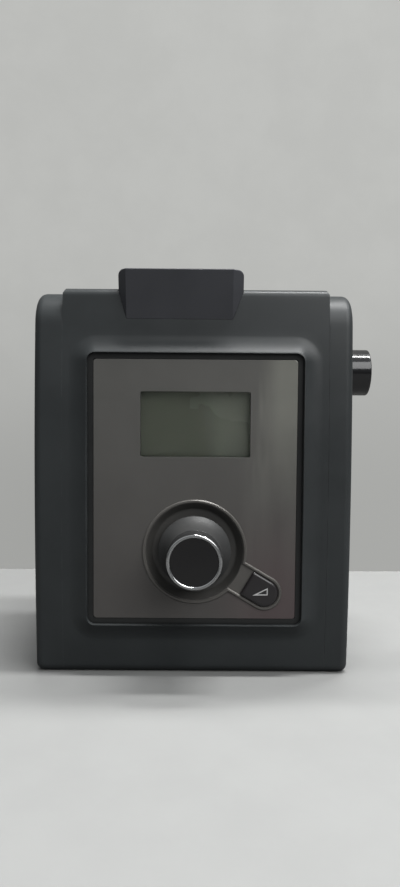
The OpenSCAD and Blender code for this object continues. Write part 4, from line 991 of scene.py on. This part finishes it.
# ramp button: a petal with a soft shoulder, and its thin wedge sign
def buildButton(k):
    bm = bmesh.new()
    y = k["buttonY"]
    steps = [(-0.9, k["floorY"] - 0.4), (0.0, k["floorY"] - 0.4), (0.0, y + 0.95),
             (-0.12, y + 0.62), (-0.38, y + 0.3), (-0.8, y + 0.1), (-1.3, y + 0.02), (-1.9, y)]
    rings = [atY(petal(g, cornerR=max(0.9 + g * 0.4, 0.4)), at) for g, at in steps]
    last = sweepRings(bm, rings)
    capRing(bm, last)
    closeUp(bm)
    makePiece(bm, "rampButton", "ramp_key", slotOf["ramp_button"], ["ramp_button"],
              finish="buttonBlack", sharpAt=50)
    bm = bmesh.new()
    a = math.radians(k["angle"])
    middle = (k["armIn"] + k["armFar"] + k["buttonR"]) / 2
    cx, cz = middle * math.cos(a) - 0.4, k["z"] + middle * math.sin(a) + 0.2
    outer = [(cx - 3.5, cz - 1.7), (cx + 3.1, cz + 1.6), (cx + 3.1, cz - 1.6)]
    inner = [(cx - 1.45, cz - 1.2), (cx + 2.68, cz + 0.87), (cx + 2.68, cz - 1.18)]
    capRing(bm, loopOf(bm, atY(outer, y - 0.06)), [loopOf(bm, atY(inner, y - 0.06))])
    bmesh.ops.recalc_face_normals(bm, faces=bm.faces)
    turnTowards(bm, bm.faces[:][0], (0, -1, 0))
    bmesh.ops.solidify(bm, geom=list(bm.faces), thickness=0.08)
    makePiece(bm, "rampSign", "ramp_key", "mark", ["ramp_mark"])


# air outlet: a glossy tapered spigot with a rolled end
def buildOutlet(o):
    bm = bmesh.new()
    end, r, bore, start = o["end"], o["r"], o["bore"], o["start"]
    low, high = o["collar"]
    turnPart(bm, [(bore, start), (bore, end - 1.0), (bore + 0.12, end - 0.5),
                  (bore + 0.5, end - 0.08), (bore + 0.9, end), (r - 0.6, end),
                  (r - 0.22, end - 0.14), (r - 0.05, end - 0.4), (r, end - 0.9),
                  (r, o["rootEnd"] + 1.2), (r + 0.1, o["rootEnd"] + 0.6),
                  (o["rootR"], o["rootEnd"]), (o["rootR"], high), (o["collarR"], high - 0.1),
                  (o["collarR"], low + 0.1), (r, low), (r, start), (bore, start)],
             (0, o["y"], o["z"]), (1, 0, 0), 128)
    closeUp(bm)
    makePiece(bm, "airOutlet", "chassis", slotOf["outlet_port"], ["outlet_port"],
              finish="outletBlack")


buildDish(dialLook)
buildWheel(wheelLook, dialLook)
buildButton(dialLook)
buildOutlet(outletLook)


# floor, wall, lamps and room
stageLook = {"floor": (0.33, 0.333, 0.327), "wall": (0.545, 0.550, 0.532),
             "dim": (0.05, 0.05, 0.05), "grain": 40.0, "mottle": 0.96, "rough": 0.8,
             "wallY": 160.0, "wide": 1500, "near": -1200, "far": 1500, "tall": 1800,
             "glow": 0.75, "gloss": 0.22, "shade": 0.80, "low": 0.05, "high": 0.24}


def stageMaterial(name, colour, s, glow):
    material, tree, shader = blankMaterial(name)
    grain = useGroup(tree, grainNodes, Scale=s["grain"])
    tint = tuple(c * s["mottle"] for c in colour)
    path = tree.nodes.new("ShaderNodeLightPath")
    gloss = product(tree, path.outputs["Is Glossy Ray"], s["gloss"])
    seen = calc(tree, "ADD", path.outputs["Is Camera Ray"], gloss)
    seen = calc(tree, "ADD", seen, path.outputs["Is Transmission Ray"], clamp=True)
    pale = mixColour(tree, grain.outputs["Variation"], colour, tint)
    if glow:
        height = splitAxes(tree, objectPlace(tree))["Z"]
        pale = mixColour(tree, ramp(tree, height, s["high"], s["low"]), pale,
                         tuple(c * s["shade"] for c in colour))
    link(tree, mixColour(tree, seen, s["dim"], pale), shader.inputs["Base Color"])
    shader.inputs["Roughness"].default_value = s["rough"]
    if glow:
        glowing = tree.nodes.new("ShaderNodeEmission")
        link(tree, pale, glowing.inputs["Color"])
        both = tree.nodes.new("ShaderNodeMixShader")
        link(tree, product(tree, seen, glow), both.inputs["Fac"])
        link(tree, shader.outputs[0], both.inputs[1])
        link(tree, glowing.outputs[0], both.inputs[2])
        # clear from behind, so that a view from there isn't hidden
        oneSided = tree.nodes.new("ShaderNodeMixShader")
        link(tree, tree.nodes.new("ShaderNodeNewGeometry").outputs["Backfacing"],
             oneSided.inputs["Fac"])
        link(tree, both.outputs[0], oneSided.inputs[1])
        clear = tree.nodes.new("ShaderNodeBsdfTransparent")
        link(tree, clear.outputs[0], oneSided.inputs[2])
        link(tree, oneSided.outputs[0], tree.nodes["Material Output"].inputs["Surface"])
    return material


def buildStage(s):
    wide, near, far, tall, wallY = (s[key] for key in ("wide", "near", "far", "tall", "wallY"))
    ground = ((-wide, near, 0), (wide, near, 0), (wide, far, 0), (-wide, far, 0))
    upright = ((-wide, wallY, 0), (wide, wallY, 0), (wide, wallY, tall), (-wide, wallY, tall))
    for name, colour, glow, points in (("floor", s["floor"], 0.0, ground),
                                       ("backdrop", s["wall"], s["glow"], upright)):
        bm = bmesh.new()
        bmesh.ops.contextual_create(bm, geom=[bm.verts.new(Vector(p) * mm) for p in points])
        bm.normal_update()
        turnTowards(bm, bm.faces[:][0], (0, -1, 1))
        mesh = meshOf(bm, name)
        mesh.materials.append(stageMaterial(name, colour, s, glow))
        addToScene(name, mesh)


# lamps, in metres and watts
lamps = {
    "tubeLamp": {"at": (0.45, -0.10, 1.5), "towards": (0.45, -0.10, 0.0), "size": (1.0, 0.12),
                 "power": 20.0, "glossy": True},
    "softLamp": {"at": (0.60, -0.80, 0.80), "towards": (0.0, 0.0, 0.1), "size": (0.9, 0.7),
                 "power": 6.5, "glossy": True},
    "rearLamp": {"at": (0.1, 0.14, 1.0), "towards": (0.1, 0.0, 0.0), "size": (0.5, 0.1),
                 "power": 12.0, "glossy": False},
}


def addLamp(name, look):
    lamp = bpy.data.lights.new(name, "AREA")
    lamp.shape = "RECTANGLE"
    lamp.size, lamp.size_y = look["size"]
    lamp.energy = look["power"]
    holder = addToScene(name, lamp)
    holder.visible_glossy = look["glossy"]
    way = (Vector(look["towards"]) - Vector(look["at"])).normalized()
    holder.location = Vector(look["at"])
    holder.rotation_euler = way.to_track_quat("-Z", "Y").to_euler()


# the room: light above, darker towards the floor
roomLook = {"above": 0.40, "below": 0.03, "fade": (-0.25, 0.7), "backdrop": 0.45,
            "tint": (0.95, 0.98, 1.0)}


def makeRoom(r):
    world = bpy.data.worlds.new("room")
    bpy.context.scene.world = world
    world.use_nodes = True
    tree = world.node_tree
    back = tree.nodes["Background"]
    back.inputs["Color"].default_value = (*r["tint"], 1.0)
    axes = splitAxes(tree, tree.nodes.new("ShaderNodeTexCoord").outputs["Generated"])
    light = ramp(tree, axes["Z"], *r["fade"], r["below"], r["above"])
    path = tree.nodes.new("ShaderNodeLightPath").outputs["Is Camera Ray"]
    hidden = product(tree, light, calc(tree, "SUBTRACT", 1.0, path))
    link(tree, calc(tree, "ADD", hidden, product(tree, path, r["backdrop"])),
         back.inputs["Strength"])


buildStage(stageLook)
for lampName, lampLook in lamps.items():
    addLamp(lampName, lampLook)
makeRoom(roomLook)
bpy.context.scene.view_settings.view_transform = "Standard"
print("stage and lamps placed")


# the CAD nodes that stay take their finish from their slot
nodeLook = {"weld": 0.00001, "edge": 0.00025, "segments": 2, "sharpAt": 40}


def dressNodes(n):
    for name, holder in nodes.items():
        holder.data.materials.clear()
        holder.data.materials.append(materials[slotOf[name]])
        weld = holder.modifiers.new("weld", "WELD")
        weld.merge_threshold = n["weld"]
        soften = holder.modifiers.new("soften", "BEVEL")
        soften.width = n["edge"]
        soften.segments = n["segments"]
        soften.limit_method = "ANGLE"
        soften.angle_limit = math.radians(n["sharpAt"])
        soften.harden_normals = False


dressNodes(nodeLook)
